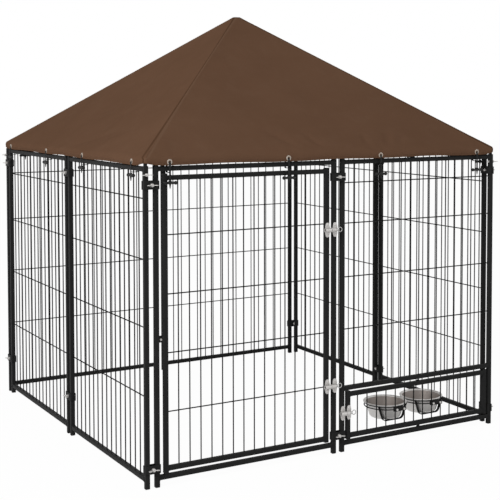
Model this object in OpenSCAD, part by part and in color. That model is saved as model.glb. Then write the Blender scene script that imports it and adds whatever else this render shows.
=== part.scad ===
// Outdoor dog kennel run: eight wire panels clamped into a square, a door that swings
// inwards, a feeder that turns with two lift-out bowls, and a fabric canopy on hip poles.
// Millimetres, +Z up. The origin is the centre of the footprint on the ground, front at -Y.

/* [Plan] */
// Width and depth over the posts
footprint = 1400; // [1300:10:1600]
// Clear gap between the two posts of a clamped joint
post_gap = 19; // [17:1:24]

/* [Tube] */
// Outside width of the square tube
tube_w = 15; // [14:0.5:16]
// Wall of the square tube
tube_wall = 1; // [0.8:0.1:1.4]

/* [Posts and rails] */
// Height of the post tubes' top ends above the ground
post_top = 1008; // [950:1:1150]
// Height of each foot cap's sole
foot_cap_h = 3; // [2:0.5:6]
// Height of each top cap's flange
top_cap_h = 2; // [1:0.5:4]
// Depth of the cap plugs inside the tubes
plug_depth = 12; // [8:1:18]
// Height of the bottom rails' undersides above the ground
bottom_rail_z = 22; // [18:1:40]
// Drop of the top rails' upper faces below the post tops
top_rail_drop = 2; // [1:0.5:8]

/* [Wire mesh] */
// Diameter of the mesh wires
wire_d = 4; // [3:0.1:4.4]
// Bays between the upright wires of a panel
panel_bays = 16; // [12:1:18]
// Bays between the upright wires of the door and of the feeder
door_bays = 15; // [12:1:17]
// Width of a panel's end bays, as a multiple of its other bays
panel_end_bay = 1.28; // [1:0.01:1.4]
// Width of the door's end bays, as a multiple of its other bays
door_end_bay = 1.16; // [1:0.01:1.4]
// Depth by which crossing wires are sunk into each other at the welds
weld_sink = 0.5; // [0.3:0.1:1]

/* [Door] */
// Clear gap between the door's stiles and the posts
door_side_gap = 15.4; // [14:0.2:22]
// Clear gap over the door's top rail
door_top_gap = 14; // [12:1:24]
// Clear gap under the door's bottom rail
door_bottom_gap = 10; // [8:1:16]
// Length of the stile ends beyond the door's rails
stile_end = 4; // [2:0.5:5]
// Diameter of the door's pivot studs
door_stud_d = 7; // [5:0.5:7]

/* [Feeder] */
// Height of the feeder opening's upper rail, at its underside
feeder_rail_z = 212; // [210:1:260]
// Clear gap between the feeder's stiles and the posts
feeder_side_gap = 10; // [9.5:0.5:16]
// Clear gap over and under the feeder's rails
feeder_rail_gap = 8; // [7:0.5:12]
// Diameter of the feeder's pivot studs
feeder_stud_d = 6; // [5:0.5:6.5]

/* [Bowls] */
// Outside diameter of a bowl's rolled rim
bowl_d = 158; // [140:1:160]
// Depth of a bowl, outside
bowl_depth = 58; // [50:1:64]
// Sheet thickness of a bowl
bowl_wall = 1.2; // [0.8:0.1:1.6]
// Height of the bowls' undersides above the ground
bowl_z = 66; // [62:1:80]
// Distance of the bowls' centres behind the feeder's wires
bowl_reach = 90; // [88:1:105]
// Diameter of the holder's hoop wire
hoop_wire_d = 4; // [3:0.5:5]

/* [Latches] */
// Height of a latch plate
latch_h = 50; // [44:1:60]
// Width of a latch plate
latch_w = 18; // [16:0.5:18.5]
// Outside diameter of the latch barrels
barrel_d = 15; // [14:0.5:17]
// Diameter of the sliding bolts
latch_bolt_d = 8; // [6:0.5:8.5]
// Travel of the sliding bolts
latch_travel = 9; // [7:0.5:10]
// Outside diameter of the pull rings
ring_d = 18; // [16:0.5:20]
// Heights of the upper door latch, lower door latch and feeder latch
upper_latch_z = 771; // [650:1:850]
lower_latch_z = 236; // [200:1:400]
feeder_latch_z = 135; // [105:1:150]

/* [Clamps] */
// Height of a clamp plate
clamp_h = 27; // [20:1:34]
// Thickness of a clamp plate
clamp_t = 2.5; // [2:0.1:3.5]
// Height of the upper clamps' centres
upper_clamp_z = 949; // [900:1:950]
// Height of the lower clamps' centres on the front and right walls
front_clamp_z = 60; // [56:1:100]
// Height of the lower clamps' centres on the back and left walls
back_clamp_z = 140; // [100:1:200]
// Diameter of the clamp bolts
clamp_bolt_d = 6; // [5:0.5:8]

/* [Roof] */
// Height of the canopy's peak above the ground
peak_z = 1528; // [1450:1:1700]
// Height of the canopy's eave above the post tops
eave_rise = 22; // [20:1:30]
// Depth of the canopy's hem below the eave
hem_depth = 22; // [18:1:24]
// Overhang of the canopy's inner face beyond the posts' outer faces
canopy_overhang = 4.5; // [3.5:0.5:8]
// Thickness of the canopy's fabric at the peak and the hem
fabric_t = 1.2; // [1:0.1:1.6]
// Half width of the canopy's flat peak
peak_half = 12; // [11:0.5:20]
// Sag of the fabric halfway down each side
canopy_sag = 14; // [0:1:24]
// Rise of the hem between two ties
hem_rise = 3; // [0:1:9]
// Diameter of the hip poles
pole_d = 10; // [8:0.5:10]
// Wall of the hip poles
pole_wall = 1; // [0.8:0.1:1.5]
// Length of the sockets that the hip poles are pushed into
socket_l = 42; // [30:1:60]
// Depth to which a corner fitting is plugged into its post
corner_plug = 75; // [50:1:120]
// Distance of the corner fittings' bolts below the post tops
corner_bolt_drop = 27; // [22:1:32]

/* [Canopy ties] */
// Distance of the inner ties from each wall's centre
tie_inner = 186; // [180:1:194]
// Distance of the outer ties from the posts' outer corners
tie_corner = 84; // [82:1:86]
// Width of the elastic
tie_w = 6; // [4:0.5:7]
// Thickness of the elastic
tie_t = 2; // [1.5:0.1:2.5]
// Length of a toggle's bar
toggle_l = 50; // [40:1:56]
// Height of the front toggles' bars below the top rails' undersides
front_toggle_drop = 37; // [30:1:45]
// Height of the other toggles' bars below the top rails' undersides
side_toggle_drop = 15; // [15:1:40]

/* [Hidden] */
BLACK = "#2b2b2c";
ZINC = "#bdbbb7";
STEEL = "#b3b0ab";
BROWN = "#63483a";
RUBBER = "#1d1d1e";

// Shared fits: a running gap on a radius, a slip fit on a width and a seat gap
run_gap = 0.05;
slip = 0.2;
seat_gap = 0.3;
cut = 1;

// Plan: each wall starts one joint in from its left corner and ends on its right corner
half = footprint / 2 - tube_w / 2;
joint = tube_w + post_gap;
panel_l = half - joint;
first_a = -half + joint;
last_a = first_a + panel_l;
first_b = last_a + joint;
last_b = half;
face = tube_w / 2;
bore_w = tube_w - 2 * tube_wall;
walls = [0, 1, 2, 3];

// Heights of the rails
bottom_clear = bottom_rail_z + tube_w;
top_rail_z = post_top - top_rail_drop - tube_w;

// Shares of the clear height at which the crosswise wires lie
panel_rows = [0.261, 0.489, 0.712, 0.911];
door_rows = [0.19, 0.397, 0.603, 0.81];
over_feeder_rows = [0.257, 0.493, 0.735, 0.917];

// Door: its hinge stile turns on studs welded into the rails
door_left = first_a + tube_w + door_side_gap;
door_right = last_a - tube_w - door_side_gap;
door_rail_low = bottom_clear + door_bottom_gap;
door_rail_high = top_rail_z - door_top_gap - tube_w;
door_stile_low = door_rail_low - stile_end;
door_stile_high = door_rail_high + tube_w + stile_end;
bush_flange = 2;
bush_l = 20;
stud_reach = 16;

// Feeder: its rails turn on studs in the middle of the panel
feeder_mid = (first_b + last_b) / 2;
feeder_half = (last_b - first_b) / 2 - tube_w - feeder_side_gap;
feeder_low = bottom_clear + feeder_rail_gap;
feeder_high = feeder_rail_z - feeder_rail_gap - tube_w;
feeder_stile_end = 4;
feeder_pitch = 2 * feeder_half / door_bays;
feeder_bush_r = feeder_stud_d / 2 + 1.5;
feeder_flange_r = feeder_bush_r + 1.5;

// Bowls and their holders: each holder is clamped across two wires
bowl_clear = 1;
bowl_x = feeder_pitch * ceil((bowl_d / 2 + bowl_clear) / feeder_pitch);
bead_r = 1.8;
rim_r = bowl_d / 2 - bead_r;
wall_top_r = rim_r - 6;
bowl_lean = 16;
bowl_corner_r = 12;
bowl_rim_z = bowl_depth - bead_r;
hoop_r = rim_r - 2;
hoop_z = bowl_z + bowl_rim_z - bead_r - seat_gap - hoop_wire_d / 2;
hoop_step = 10;
strap_w = 11;
strap_t = 2.5;
strap_back = 46;
strap_corner_r = 16;
strap_inset = 14;
strap_lean = 14;
holder_z = hoop_z - hoop_step / 2;
holder_plate = [50, 3, 15];
holder_stem_w = 20;
holder_stem_h = hoop_step + hoop_wire_d / 2;
holder_bolt_x = 15.5;
holder_bolt_r = 2;
holder_head_r = 4;
holder_head_h = 3;

// Latches: a barrel stands on each plate, and the bolt runs along X
latch_t = 2;
latch_axis = latch_t + barrel_d / 2 - 0.5;
latch_gap = 1.5;
keeper_bore_r = latch_bolt_d / 2 + 1.5;
keeper_tail = 5;
ring_wire_r = 1.4;
ring_mid_r = ring_d / 2 - ring_wire_r;
ring_x = latch_w / 2 + ring_d / 3;
barrel_end = ring_x - ring_d / 2 - latch_travel - 0.6;
door_latch_pitch = tube_w + door_side_gap;
feeder_latch_pitch = tube_w + feeder_side_gap;
rivet_r = 3;
rivet_h = 1.4;

// Clamps
clamp_lip = 6;
clamp_lip_t = 2;
clamp_half = joint / 2 + face + clamp_lip_t;
wing_hub_rim = 3;
wing_hub_h = 8;
wing_span = 15;
wing_t = 2.4;
wing_ear_r = 5.5;
wing_ear = [wing_span - 2, -9.5];
clamp_wing_turn = 25;
corner_wing_turn = -20;
lower_clamps = [front_clamp_z, front_clamp_z, back_clamp_z, back_clamp_z];

// Roof: the hip poles follow the canopy's hips a little below the fabric
eave_z = post_top + eave_rise;
eave_half = half + face + canopy_overhang + fabric_t;
roof_rise = peak_z - eave_z;
hip_slope = atan(roof_rise / (sqrt(2) * (eave_half - peak_half)));
pole_drop = 11;
post_diag = half * sqrt(2);
corner_z = peak_z - pole_drop - tan(hip_slope) * (post_diag - peak_half * sqrt(2));
socket_wall = 1.2;
socket_r = pole_d / 2 + socket_wall;
knuckle_r = socket_r + 0.6;
fitting_play = 1;
fitting_d = bore_w - fitting_play;
pole_low = post_diag - 10;
pole_high = 20;
hub_rim = 2.5;
hub_r = peak_half - hub_rim;
hub_h = 42;
hub_top = peak_z - fabric_t - seat_gap;
corner_bolt_z = post_top - corner_bolt_drop;
corner_bolt_r = 2.5;

// Canopy grid: columns between the ties, rings down the slope
bay_steps = 4;
ring_steps = 7;
tie_outer = footprint / 2 - tie_corner;
tie_z = eave_z - hem_depth / 2;
grommet_r = 9;
grommet_hole_r = 4.5;
grommet_wall = 1;
grommet_t = 1;
tie_front = eave_half + grommet_t + tie_t / 2;
tie_back = half - face - 0.5 - tie_t / 2;
tie_under = top_rail_z - 4 - tie_t / 2;
tie_corner_r = 3;
function toggle_z(k) = top_rail_z - (k == 0 ? front_toggle_drop : side_toggle_drop);
toggle_r = 4.5;
knob_r = 6;
toggle_boss = [10, 7, 7];
toggle_tip = 18;
toggle_tip_r = 1.2;
toggle_root_r = toggle_r - 1.1;
tie_places = [-tie_outer, -tie_inner, tie_inner, tie_outer];

// Points of an arc from one angle to another
function arc(c, r, from, to, steps) =
    [for (i = [0:steps]) let (a = from + (to - from) * i / steps) c + r * [cos(a), sin(a)]];

// Places a wall's own frame: X runs along the wall, -Y points outwards
module on_wall(k) rotate([0, 0, 90 * k]) translate([0, -half, 0]) children();

// Turns a flat outline to stand along the wall, growing outwards
module upright(t) rotate([90, 0, 0]) linear_extrude(t) children();

// A rod that runs outwards along -Y
module rod_out(r, l, sides = 48) rotate([90, 0, 0]) cylinder(r = r, h = l, $fn = sides);

module tube_up(low, high) {
    difference() {
        translate([-face, -face, low]) cube([tube_w, tube_w, high - low]);
        translate([-bore_w / 2, -bore_w / 2, low - cut]) cube([bore_w, bore_w, high - low + 2 * cut]);
    }
}

module rail(from, to, z) {
    difference() {
        translate([from, -face, z]) cube([to - from, tube_w, tube_w]);
        translate([from - cut, -bore_w / 2, z + tube_wall]) cube([to - from + 2 * cut, bore_w, bore_w]);
    }
}

// A wall's last post carries a corner fitting, whose bolt crosses it along the wall
module corner_post() {
    difference() {
        tube_up(foot_cap_h, post_top);
        translate([-tube_w, 0, corner_bolt_z]) rotate([0, 90, 0])
            cylinder(r = corner_bolt_r + slip / 2, h = 2 * tube_w, $fn = 32);
    }
}

module panel_frame(from, to, to_corner) {
    translate([from, 0, 0]) tube_up(foot_cap_h, post_top);
    if (to_corner) translate([to, 0, 0]) corner_post();
    else translate([to, 0, 0]) tube_up(foot_cap_h, post_top);
}

module plain_frame(from, to, to_corner) {
    panel_frame(from, to, to_corner);
    rail(from + face, to - face, bottom_rail_z);
    rail(from + face, to - face, top_rail_z);
}

// Upright wires of one field, with crosswise wires welded behind them
module wire_mesh(from, to, low, high, bays, end_bay, rows) {
    pitch = (to - from) / (bays - 2 + 2 * end_bay);
    left = from + face;
    union() {
        for (i = [0:bays - 2]) translate([from + (end_bay + i) * pitch, 0, low]) wire(high - low);
        for (s = rows) translate([left, wire_d - weld_sink, low + s * (high - low)])
            rotate([0, 90, 0]) wire(to - from - tube_w);
    }
}

module wire(l) rotate([0, 0, 22.5]) cylinder(d = wire_d, h = l, $fn = 8);

module plain_mesh(from, to)
    wire_mesh(from, to, bottom_clear, top_rail_z, panel_bays, panel_end_bay, panel_rows);

// A rail with a hole through one wall for a welded stud
module studded_rail(from, to, z, x, r, from_above) {
    difference() {
        rail(from, to, z);
        translate([x, 0, from_above ? z + face : z - cut])
            cylinder(r = r + run_gap, h = face + cut, $fn = 48);
    }
}

module door_panel_frame() color(BLACK) on_wall(0) {
    panel_frame(first_a, last_a, false);
    stud_r = door_stud_d / 2;
    studded_rail(first_a + face, last_a - face, bottom_rail_z, door_left, stud_r, true);
    studded_rail(first_a + face, last_a - face, top_rail_z, door_left, stud_r, false);
}

module feeder_panel_frame() color(BLACK) on_wall(0) {
    panel_frame(first_b, last_b, true);
    rail(first_b + face, last_b - face, top_rail_z);
    stud_r = feeder_stud_d / 2;
    studded_rail(first_b + face, last_b - face, bottom_rail_z, feeder_mid, stud_r, true);
    studded_rail(first_b + face, last_b - face, feeder_rail_z, feeder_mid, stud_r, false);
}

module back_left_frame() color(BLACK) on_wall(2) plain_frame(first_b, last_b, true);
module back_right_frame() color(BLACK) on_wall(2) plain_frame(first_a, last_a, false);
module left_front_frame() color(BLACK) on_wall(3) plain_frame(first_b, last_b, true);
module left_rear_frame() color(BLACK) on_wall(3) plain_frame(first_a, last_a, false);
module right_front_frame() color(BLACK) on_wall(1) plain_frame(first_a, last_a, false);
module right_rear_frame() color(BLACK) on_wall(1) plain_frame(first_b, last_b, true);

module back_left_mesh() color(BLACK) on_wall(2) plain_mesh(first_b, last_b);
module back_right_mesh() color(BLACK) on_wall(2) plain_mesh(first_a, last_a);
module left_front_mesh() color(BLACK) on_wall(3) plain_mesh(first_b, last_b);
module left_rear_mesh() color(BLACK) on_wall(3) plain_mesh(first_a, last_a);
module right_front_mesh() color(BLACK) on_wall(1) plain_mesh(first_a, last_a);
module right_rear_mesh() color(BLACK) on_wall(1) plain_mesh(first_b, last_b);
module feeder_panel_mesh() color(BLACK) on_wall(0)
    wire_mesh(first_b, last_b, feeder_rail_z + tube_w, top_rail_z, panel_bays, panel_end_bay,
        over_feeder_rows);

// Runs its children at the corner joint and the middle joint of a wall
module at_joints(k) for (x = [-half + joint / 2, last_a + joint / 2])
    on_wall(k) translate([x, 0, 0]) children();

// One channel-shaped clamp plate on the outer faces of two posts
module clamp_plate() {
    difference() {
        translate([0, -face, 0]) upright(clamp_t) square([2 * clamp_half, clamp_h], center = true);
        translate([0, cut - face, 0]) rod_out(clamp_bolt_d / 2 + slip, clamp_t + 2 * cut);
    }
    for (s = [-1, 1]) translate([s * (clamp_half - clamp_lip_t / 2), clamp_lip - face, 0])
        upright(clamp_lip) square([clamp_lip_t, clamp_h], center = true);
}

module clamp_pair(z) translate([0, 0, z]) {
    union() clamp_plate();
    mirror([0, 1, 0]) clamp_plate();
}

module upper_clamp_plates() color(BLACK) for (k = walls) at_joints(k) clamp_pair(upper_clamp_z);
module lower_clamp_plates() color(BLACK) for (k = walls) at_joints(k) clamp_pair(lower_clamps[k]);

// A bolt from inside the run, with a hexagonal head
module bolt_out(r, grip) {
    translate([0, grip / 2, 0]) rod_out(r, grip + wing_hub_h + 2);
    translate([0, grip / 2 + 1.4 * r, 0]) rod_out(1.8 * r, 1.4 * r, 6);
}

module clamp_bolts() color(ZINC) for (k = walls) at_joints(k)
    for (z = [upper_clamp_z, lower_clamps[k]])
        translate([0, 0, z]) bolt_out(clamp_bolt_d / 2, tube_w + 2 * clamp_t);

// A wing nut: a hub with two ears that lean outwards
module wing_nut(bolt_r) {
    hub_r = bolt_r + wing_hub_rim;
    difference() {
        union() {
            rod_out(hub_r, wing_hub_h);
            for (s = [0, 180]) rotate([0, s, 0]) translate([0, 0, -wing_t / 2])
                linear_extrude(wing_t) union() {
                    polygon([[0, -1], [hub_r, -1], [wing_span, -6], [wing_span - 2, -14], [0, -wing_hub_h]]);
                    translate(wing_ear) circle(r = wing_ear_r, $fn = 32);
                }
        }
        translate([0, cut, 0]) rod_out(bolt_r + slip / 2, wing_hub_h + 10);
    }
}

module clamp_wing_nuts() color(ZINC) for (k = walls) at_joints(k)
    for (z = [upper_clamp_z, lower_clamps[k]])
        translate([0, -face - clamp_t, z]) rotate([0, clamp_wing_turn, 0]) wing_nut(clamp_bolt_d / 2);

module plug(flange_h) {
    translate([-face, -face, 0]) cube([tube_w, tube_w, flange_h]);
    plug_w = bore_w - slip;
    translate([-plug_w / 2, -plug_w / 2, 0]) cube([plug_w, plug_w, flange_h + plug_depth]);
}

module post_foot_caps() color(RUBBER) for (k = walls) on_wall(k)
    for (x = [first_a, last_a, first_b, last_b]) translate([x, 0, 0]) plug(foot_cap_h);

module post_top_caps() color(RUBBER) for (k = walls) on_wall(k)
    for (x = [first_a, last_a, first_b])
        translate([x, 0, post_top + top_cap_h]) mirror([0, 0, 1]) plug(top_cap_h);

// A cylinder on a hip pole's axis, between two distances from the run's centre
module on_hip(k, r, from, to) rotate([0, 0, 225 + 90 * k])
    translate([to, 0, corner_z + (post_diag - to) * tan(hip_slope)]) rotate([0, hip_slope - 90, 0])
        cylinder(r = r, h = (to - from) / cos(hip_slope), $fn = 48);

// Corner 0 is the left end of the front wall, and the others follow anticlockwise
module roof_pole(k) color(BLACK) difference() {
    on_hip(k, pole_d / 2, pole_high, pole_low);
    on_hip(k, pole_d / 2 - pole_wall, pole_high - cut, pole_low + cut);
}

module front_left_roof_pole() roof_pole(0);
module front_right_roof_pole() roof_pole(1);
module back_right_roof_pole() roof_pole(2);
module back_left_roof_pole() roof_pole(3);

// A corner fitting: a plug for the post, a knuckle, and a socket for the hip pole
module roof_corner_fittings() color(BLACK) for (k = walls) difference() {
    union() {
        on_wall(k) translate([-half, 0, post_top - corner_plug])
            cylinder(d = fitting_d, h = corner_plug + corner_z - post_top, $fn = 48);
        on_wall(k) translate([-half, 0, corner_z]) sphere(r = knuckle_r, $fn = 48);
        on_hip(k, socket_r, pole_low - socket_l, post_diag);
    }
    on_hip(k, pole_d / 2 + slip / 2, pole_low - socket_l - cut, pole_low);
    on_wall(k) translate([-half, tube_w, corner_bolt_z])
        rod_out(corner_bolt_r + slip / 2, 2 * tube_w, 32);
}

// A hub with a flat top, and four sockets that the poles are pushed into
module roof_hub() color(BLACK) difference() {
    union() {
        translate([0, 0, hub_top - hub_h]) cylinder(r = hub_r, h = hub_h, $fn = 64);
        for (k = walls) on_hip(k, socket_r, hub_r / 2, pole_high + socket_l);
    }
    for (k = walls) on_hip(k, pole_d / 2 + slip / 2, pole_high, pole_high + socket_l + cut);
    translate([0, 0, hub_top]) cylinder(r = 2 * hub_r, h = hub_h, $fn = 64);
}

module roof_corner_bolts() color(ZINC) for (k = walls) on_wall(k)
    translate([-half, 0, corner_bolt_z]) bolt_out(corner_bolt_r, tube_w);

module roof_corner_wing_nuts() color(ZINC) for (k = walls) on_wall(k)
    translate([-half, -face, corner_bolt_z]) rotate([0, corner_wing_turn, 0]) wing_nut(corner_bolt_r);

// How far the hem has risen at a place along the eave, from 0 at a tie to 1 between ties
function lift(x) = let (a = abs(x))
    a < tie_inner ? pow(cos(90 * a / tie_inner), 2) :
    a < tie_outer ? pow(sin(180 * (a - tie_inner) / (tie_outer - tie_inner)), 2) : 0;

// Places along one eave: from its left corner, with each tie among them
eave_stops = concat([-eave_half], tie_places, [eave_half]);
eave_places = [for (b = [0:len(eave_stops) - 2], i = [0:bay_steps - 1])
    let (steps = b == 0 || b == len(eave_stops) - 2 ? 1 : bay_steps)
    if (i < steps) eave_stops[b] + (eave_stops[b + 1] - eave_stops[b]) * i / steps];

// A point of one side: q runs from 0 at the peak to 1 at the eave, x is its place at the eave
function slope_point(x, q, inset) = let (
    m = peak_half + (eave_half - peak_half) * q - inset, t = x / eave_half,
    sag = canopy_sag * (1 - t * t) * 4 * q * (1 - q),
    z = peak_z - roof_rise * q - sag + hem_rise * lift(x) * pow(q, 6) - inset)
    [t * m, -m, z];
function hem_point(x, inset) = let (p = slope_point(x, 1, inset))
    [p.x, p.y, p.z - hem_depth + inset];
function turned(p, k) = let (c = cos(90 * k), s = sin(90 * k))
    [p.x * c - p.y * s, p.x * s + p.y * c, p.z];

// Rings of one face of the fabric, from the peak down to the hem
function canopy_face(inset) = [for (j = [0:ring_steps + 1]) each
    [for (k = walls, x = eave_places) turned(j > ring_steps ? hem_point(x, inset)
        : slope_point(x, sin(90 * j / ring_steps), inset), k)]];

// Numbers of the grid's points on the outer face and, after all of those, on the inner face
canopy_columns = 4 * len(eave_places);
canopy_rings = ring_steps + 2;
inner_start = canopy_rings * canopy_columns + 1;
function out_id(j, i) = 1 + j * canopy_columns + i % canopy_columns;
function in_id(j, i) = inner_start + out_id(j, i);
function canopy_strip(i) = concat(
    [[0, out_id(0, i + 1), out_id(0, i)], [inner_start, in_id(0, i), in_id(0, i + 1)]],
    [for (j = [0:canopy_rings - 2]) each [
        [out_id(j, i), out_id(j, i + 1), out_id(j + 1, i)],
        [out_id(j, i + 1), out_id(j + 1, i + 1), out_id(j + 1, i)],
        [in_id(j, i), in_id(j + 1, i), in_id(j, i + 1)],
        [in_id(j, i + 1), in_id(j + 1, i), in_id(j + 1, i + 1)]]],
    [[out_id(canopy_rings - 1, i), out_id(canopy_rings - 1, i + 1), in_id(canopy_rings - 1, i)],
     [out_id(canopy_rings - 1, i + 1), in_id(canopy_rings - 1, i + 1), in_id(canopy_rings - 1, i)]]);

// The fabric: an outer face, an inner face and the hem between them
module canopy() color(BROWN) polyhedron(
    concat([[0, 0, peak_z]], canopy_face(0), [[0, 0, peak_z - fabric_t]], canopy_face(fabric_t)),
    [for (i = [0:canopy_columns - 1]) each canopy_strip(i)]);

// Runs its children at each canopy tie
module at_ties() for ($wall = walls, x = tie_places) on_wall($wall) translate([x, half, 0]) children();

// An eyelet crimped through the hem
module canopy_grommets() color(ZINC) at_ties() translate([0, -eave_half, tie_z]) difference() {
    union() {
        rod_out(grommet_r, grommet_t);
        translate([0, fabric_t, 0]) rod_out(grommet_hole_r + grommet_wall, fabric_t);
        translate([0, fabric_t + grommet_t, 0]) rod_out(grommet_r, grommet_t);
    }
    translate([0, fabric_t + grommet_t + cut, 0]) rod_out(grommet_hole_r, fabric_t + 2 * (grommet_t + cut));
}

module round_square(low, high, r) {
    translate([low.x + r, low.y]) square([high.x - low.x - 2 * r, high.y - low.y]);
    translate([low.x, low.y + r]) square([high.x - low.x, high.y - low.y - 2 * r]);
    for (x = [low.x + r, high.x - r], y = [low.y + r, high.y - r])
        translate([x, y]) circle(r = r, $fn = 32);
}

// An elastic band from the eyelet round the top rail, with a tail down to the toggle
module canopy_tie_elastics() color(RUBBER) at_ties() {
    out = [tie_t / 2, tie_t / 2];
    low = [tie_back, tie_under];
    high = [tie_front, tie_z];
    rotate([90, 0, -90]) translate([0, 0, -tie_w / 2]) linear_extrude(tie_w) {
        difference() {
            round_square(low - out, high + out, tie_corner_r);
            round_square(low + out, high - out, tie_corner_r - tie_t / 2);
        }
        tail_z = toggle_z($wall) + toggle_boss.z;
        translate([tie_front - tie_t / 2, tail_z])
            square([tie_t, tie_under - tail_z + 2 * tie_corner_r]);
    }
}

// A toggle: a bar with knob ends, a boss for the elastic and a pointed tip
module canopy_tie_toggles() color(RUBBER) at_ties() translate([0, -tie_front, toggle_z($wall)]) {
    arm = toggle_l / 2 - knob_r;
    rotate([0, 90, 0]) {
        translate([0, 0, -arm]) cylinder(r = toggle_r, h = 2 * arm, $fn = 32);
        for (s = [-1, 1]) translate([0, 0, s * arm]) sphere(r = knob_r, $fn = 32);
    }
    translate([-toggle_boss.x / 2, -toggle_boss.y / 2, 0]) cube(toggle_boss);
    translate([0, 0, -toggle_tip]) cylinder(r1 = toggle_tip_r, r2 = toggle_root_r, h = toggle_tip, $fn = 32);
}

// A stud welded inside a rail, and the washer that a lower bush turns on
module stud(r, from, to) translate([0, 0, from]) cylinder(r = r, h = to - from, $fn = 48);
module washer(r, bore_r, from, to) translate([0, 0, from]) difference() {
    cylinder(r = r, h = to - from, $fn = 48);
    translate([0, 0, -cut]) cylinder(r = bore_r, h = to - from + 2 * cut, $fn = 48);
}

module door_pivot_studs() color(ZINC) on_wall(0) translate([door_left, 0, 0]) {
    r = door_stud_d / 2;
    stud(r, bottom_rail_z + tube_wall, door_stile_low + stud_reach);
    stud(r, door_stile_high - stud_reach, top_rail_z + tube_w - tube_wall);
    washer(face, r + run_gap, bottom_clear, door_stile_low - bush_flange - seat_gap);
}

module feeder_pivot_studs() color(ZINC) on_wall(0) translate([feeder_mid, 0, 0]) {
    r = feeder_stud_d / 2;
    stud(r, bottom_rail_z + tube_wall, feeder_low + tube_w);
    stud(r, feeder_high, feeder_rail_z + tube_w - tube_wall);
    washer(feeder_flange_r, r + run_gap, bottom_clear, feeder_low - bush_flange - seat_gap);
}

// A square bush in the end of the hinge stile, flange first
module stile_bush() difference() {
    plug_w = bore_w - slip;
    union() {
        translate([-face, -face, -bush_flange]) cube([tube_w, tube_w, bush_flange]);
        translate([-plug_w / 2, -plug_w / 2, -bush_flange]) cube([plug_w, plug_w, bush_flange + bush_l]);
    }
    translate([0, 0, -bush_flange - cut])
        cylinder(r = door_stud_d / 2 + run_gap, h = bush_flange + bush_l + 2 * cut, $fn = 48);
}

module door_pivot_bushes() color(RUBBER) on_wall(0) {
    translate([door_left, 0, door_stile_low]) stile_bush();
    translate([door_left, 0, door_stile_high]) mirror([0, 0, 1]) stile_bush();
}

module door_frame() color(BLACK) on_wall(0) {
    for (x = [door_left, door_right]) translate([x, 0, 0]) tube_up(door_stile_low, door_stile_high);
    for (z = [door_rail_low, door_rail_high]) rail(door_left + face, door_right - face, z);
}

module door_mesh() color(BLACK) on_wall(0)
    wire_mesh(door_left, door_right, door_rail_low + tube_w, door_rail_high, door_bays, door_end_bay,
        door_rows);

// A latch plate with rounded ends and a wider waist
module latch_outline() {
    end_r = latch_w / 2 - 1.5;
    for (s = [-1, 1]) translate([0, s * (latch_h / 2 - end_r)]) circle(r = end_r, $fn = 48);
    square([2 * end_r, latch_h - 2 * end_r], center = true);
    square([latch_w, barrel_d + 6], center = true);
}

// A cylinder along the bolt's axis
module latch_rod(r, from, to) translate([from, -latch_axis, 0]) rotate([0, 90, 0])
    cylinder(r = r, h = to - from, $fn = 64);

module latch_rivets() for (s = [-1, 1])
    translate([0, -latch_t, s * (latch_h / 2 - latch_w / 2 + 0.5)]) rod_out(rivet_r, rivet_h, 32);

// The barrel that carries the bolt, standing on the tube to the right
module latch_body(pitch) {
    left = latch_w / 2 + latch_gap - pitch;
    difference() {
        union() {
            upright(latch_t) latch_outline();
            latch_rod(barrel_d / 2, left, barrel_end);
        }
        latch_rod(latch_bolt_d / 2 + run_gap, left - cut, barrel_end + cut);
    }
    latch_rivets();
}

// The keeper that the bolt shoots into, standing on the tube to the left
module latch_keeper() {
    left = -latch_w / 2 - keeper_tail;
    difference() {
        union() {
            upright(latch_t) latch_outline();
            latch_rod(barrel_d / 2, left, latch_w / 2);
        }
        latch_rod(keeper_bore_r, left - cut, latch_w / 2 + cut);
    }
    latch_rivets();
}

// The bolt, drawn back flush with its barrel, and its pull ring
module latch_bolt(pitch) {
    left = latch_w / 2 + latch_gap - pitch + seat_gap;
    latch_rod(latch_bolt_d / 2, left, ring_x - ring_mid_r);
    translate([ring_x, -latch_axis, 0]) rotate([90, 0, 0])
        rotate_extrude($fn = 64) translate([ring_mid_r, 0]) circle(r = ring_wire_r, $fn = 24);
}

module on_front(x, z) on_wall(0) translate([x, -face, z]) children();

module upper_latch_body() color(ZINC) on_front(last_a, upper_latch_z) latch_body(door_latch_pitch);
module lower_latch_body() color(ZINC) on_front(last_a, lower_latch_z) latch_body(door_latch_pitch);
module upper_latch_bolt() color(STEEL) on_front(last_a, upper_latch_z) latch_bolt(door_latch_pitch);
module lower_latch_bolt() color(STEEL) on_front(last_a, lower_latch_z) latch_bolt(door_latch_pitch);
module upper_latch_keeper() color(ZINC) on_front(door_right, upper_latch_z) latch_keeper();
module lower_latch_keeper() color(ZINC) on_front(door_right, lower_latch_z) latch_keeper();
module feeder_latch_keeper() color(ZINC) on_front(first_b, feeder_latch_z) latch_keeper();
module feeder_latch_body() color(ZINC)
    on_front(feeder_mid - feeder_half, feeder_latch_z) latch_body(feeder_latch_pitch);
module feeder_latch_bolt() color(STEEL)
    on_front(feeder_mid - feeder_half, feeder_latch_z) latch_bolt(feeder_latch_pitch);

// A feeder rail with a bored seat in its middle for a bush
module feeder_rail(z) difference() {
    rail(-feeder_half + face, feeder_half - face, z);
    translate([0, 0, z - cut]) cylinder(r = feeder_bush_r, h = tube_w + 2 * cut, $fn = 48);
}

module feeder_frame() color(BLACK) on_wall(0) translate([feeder_mid, 0, 0]) {
    for (s = [-1, 1]) translate([s * feeder_half, 0, 0])
        tube_up(feeder_low - feeder_stile_end, feeder_high + tube_w + feeder_stile_end);
    for (z = [feeder_low, feeder_high]) feeder_rail(z);
}

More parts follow.
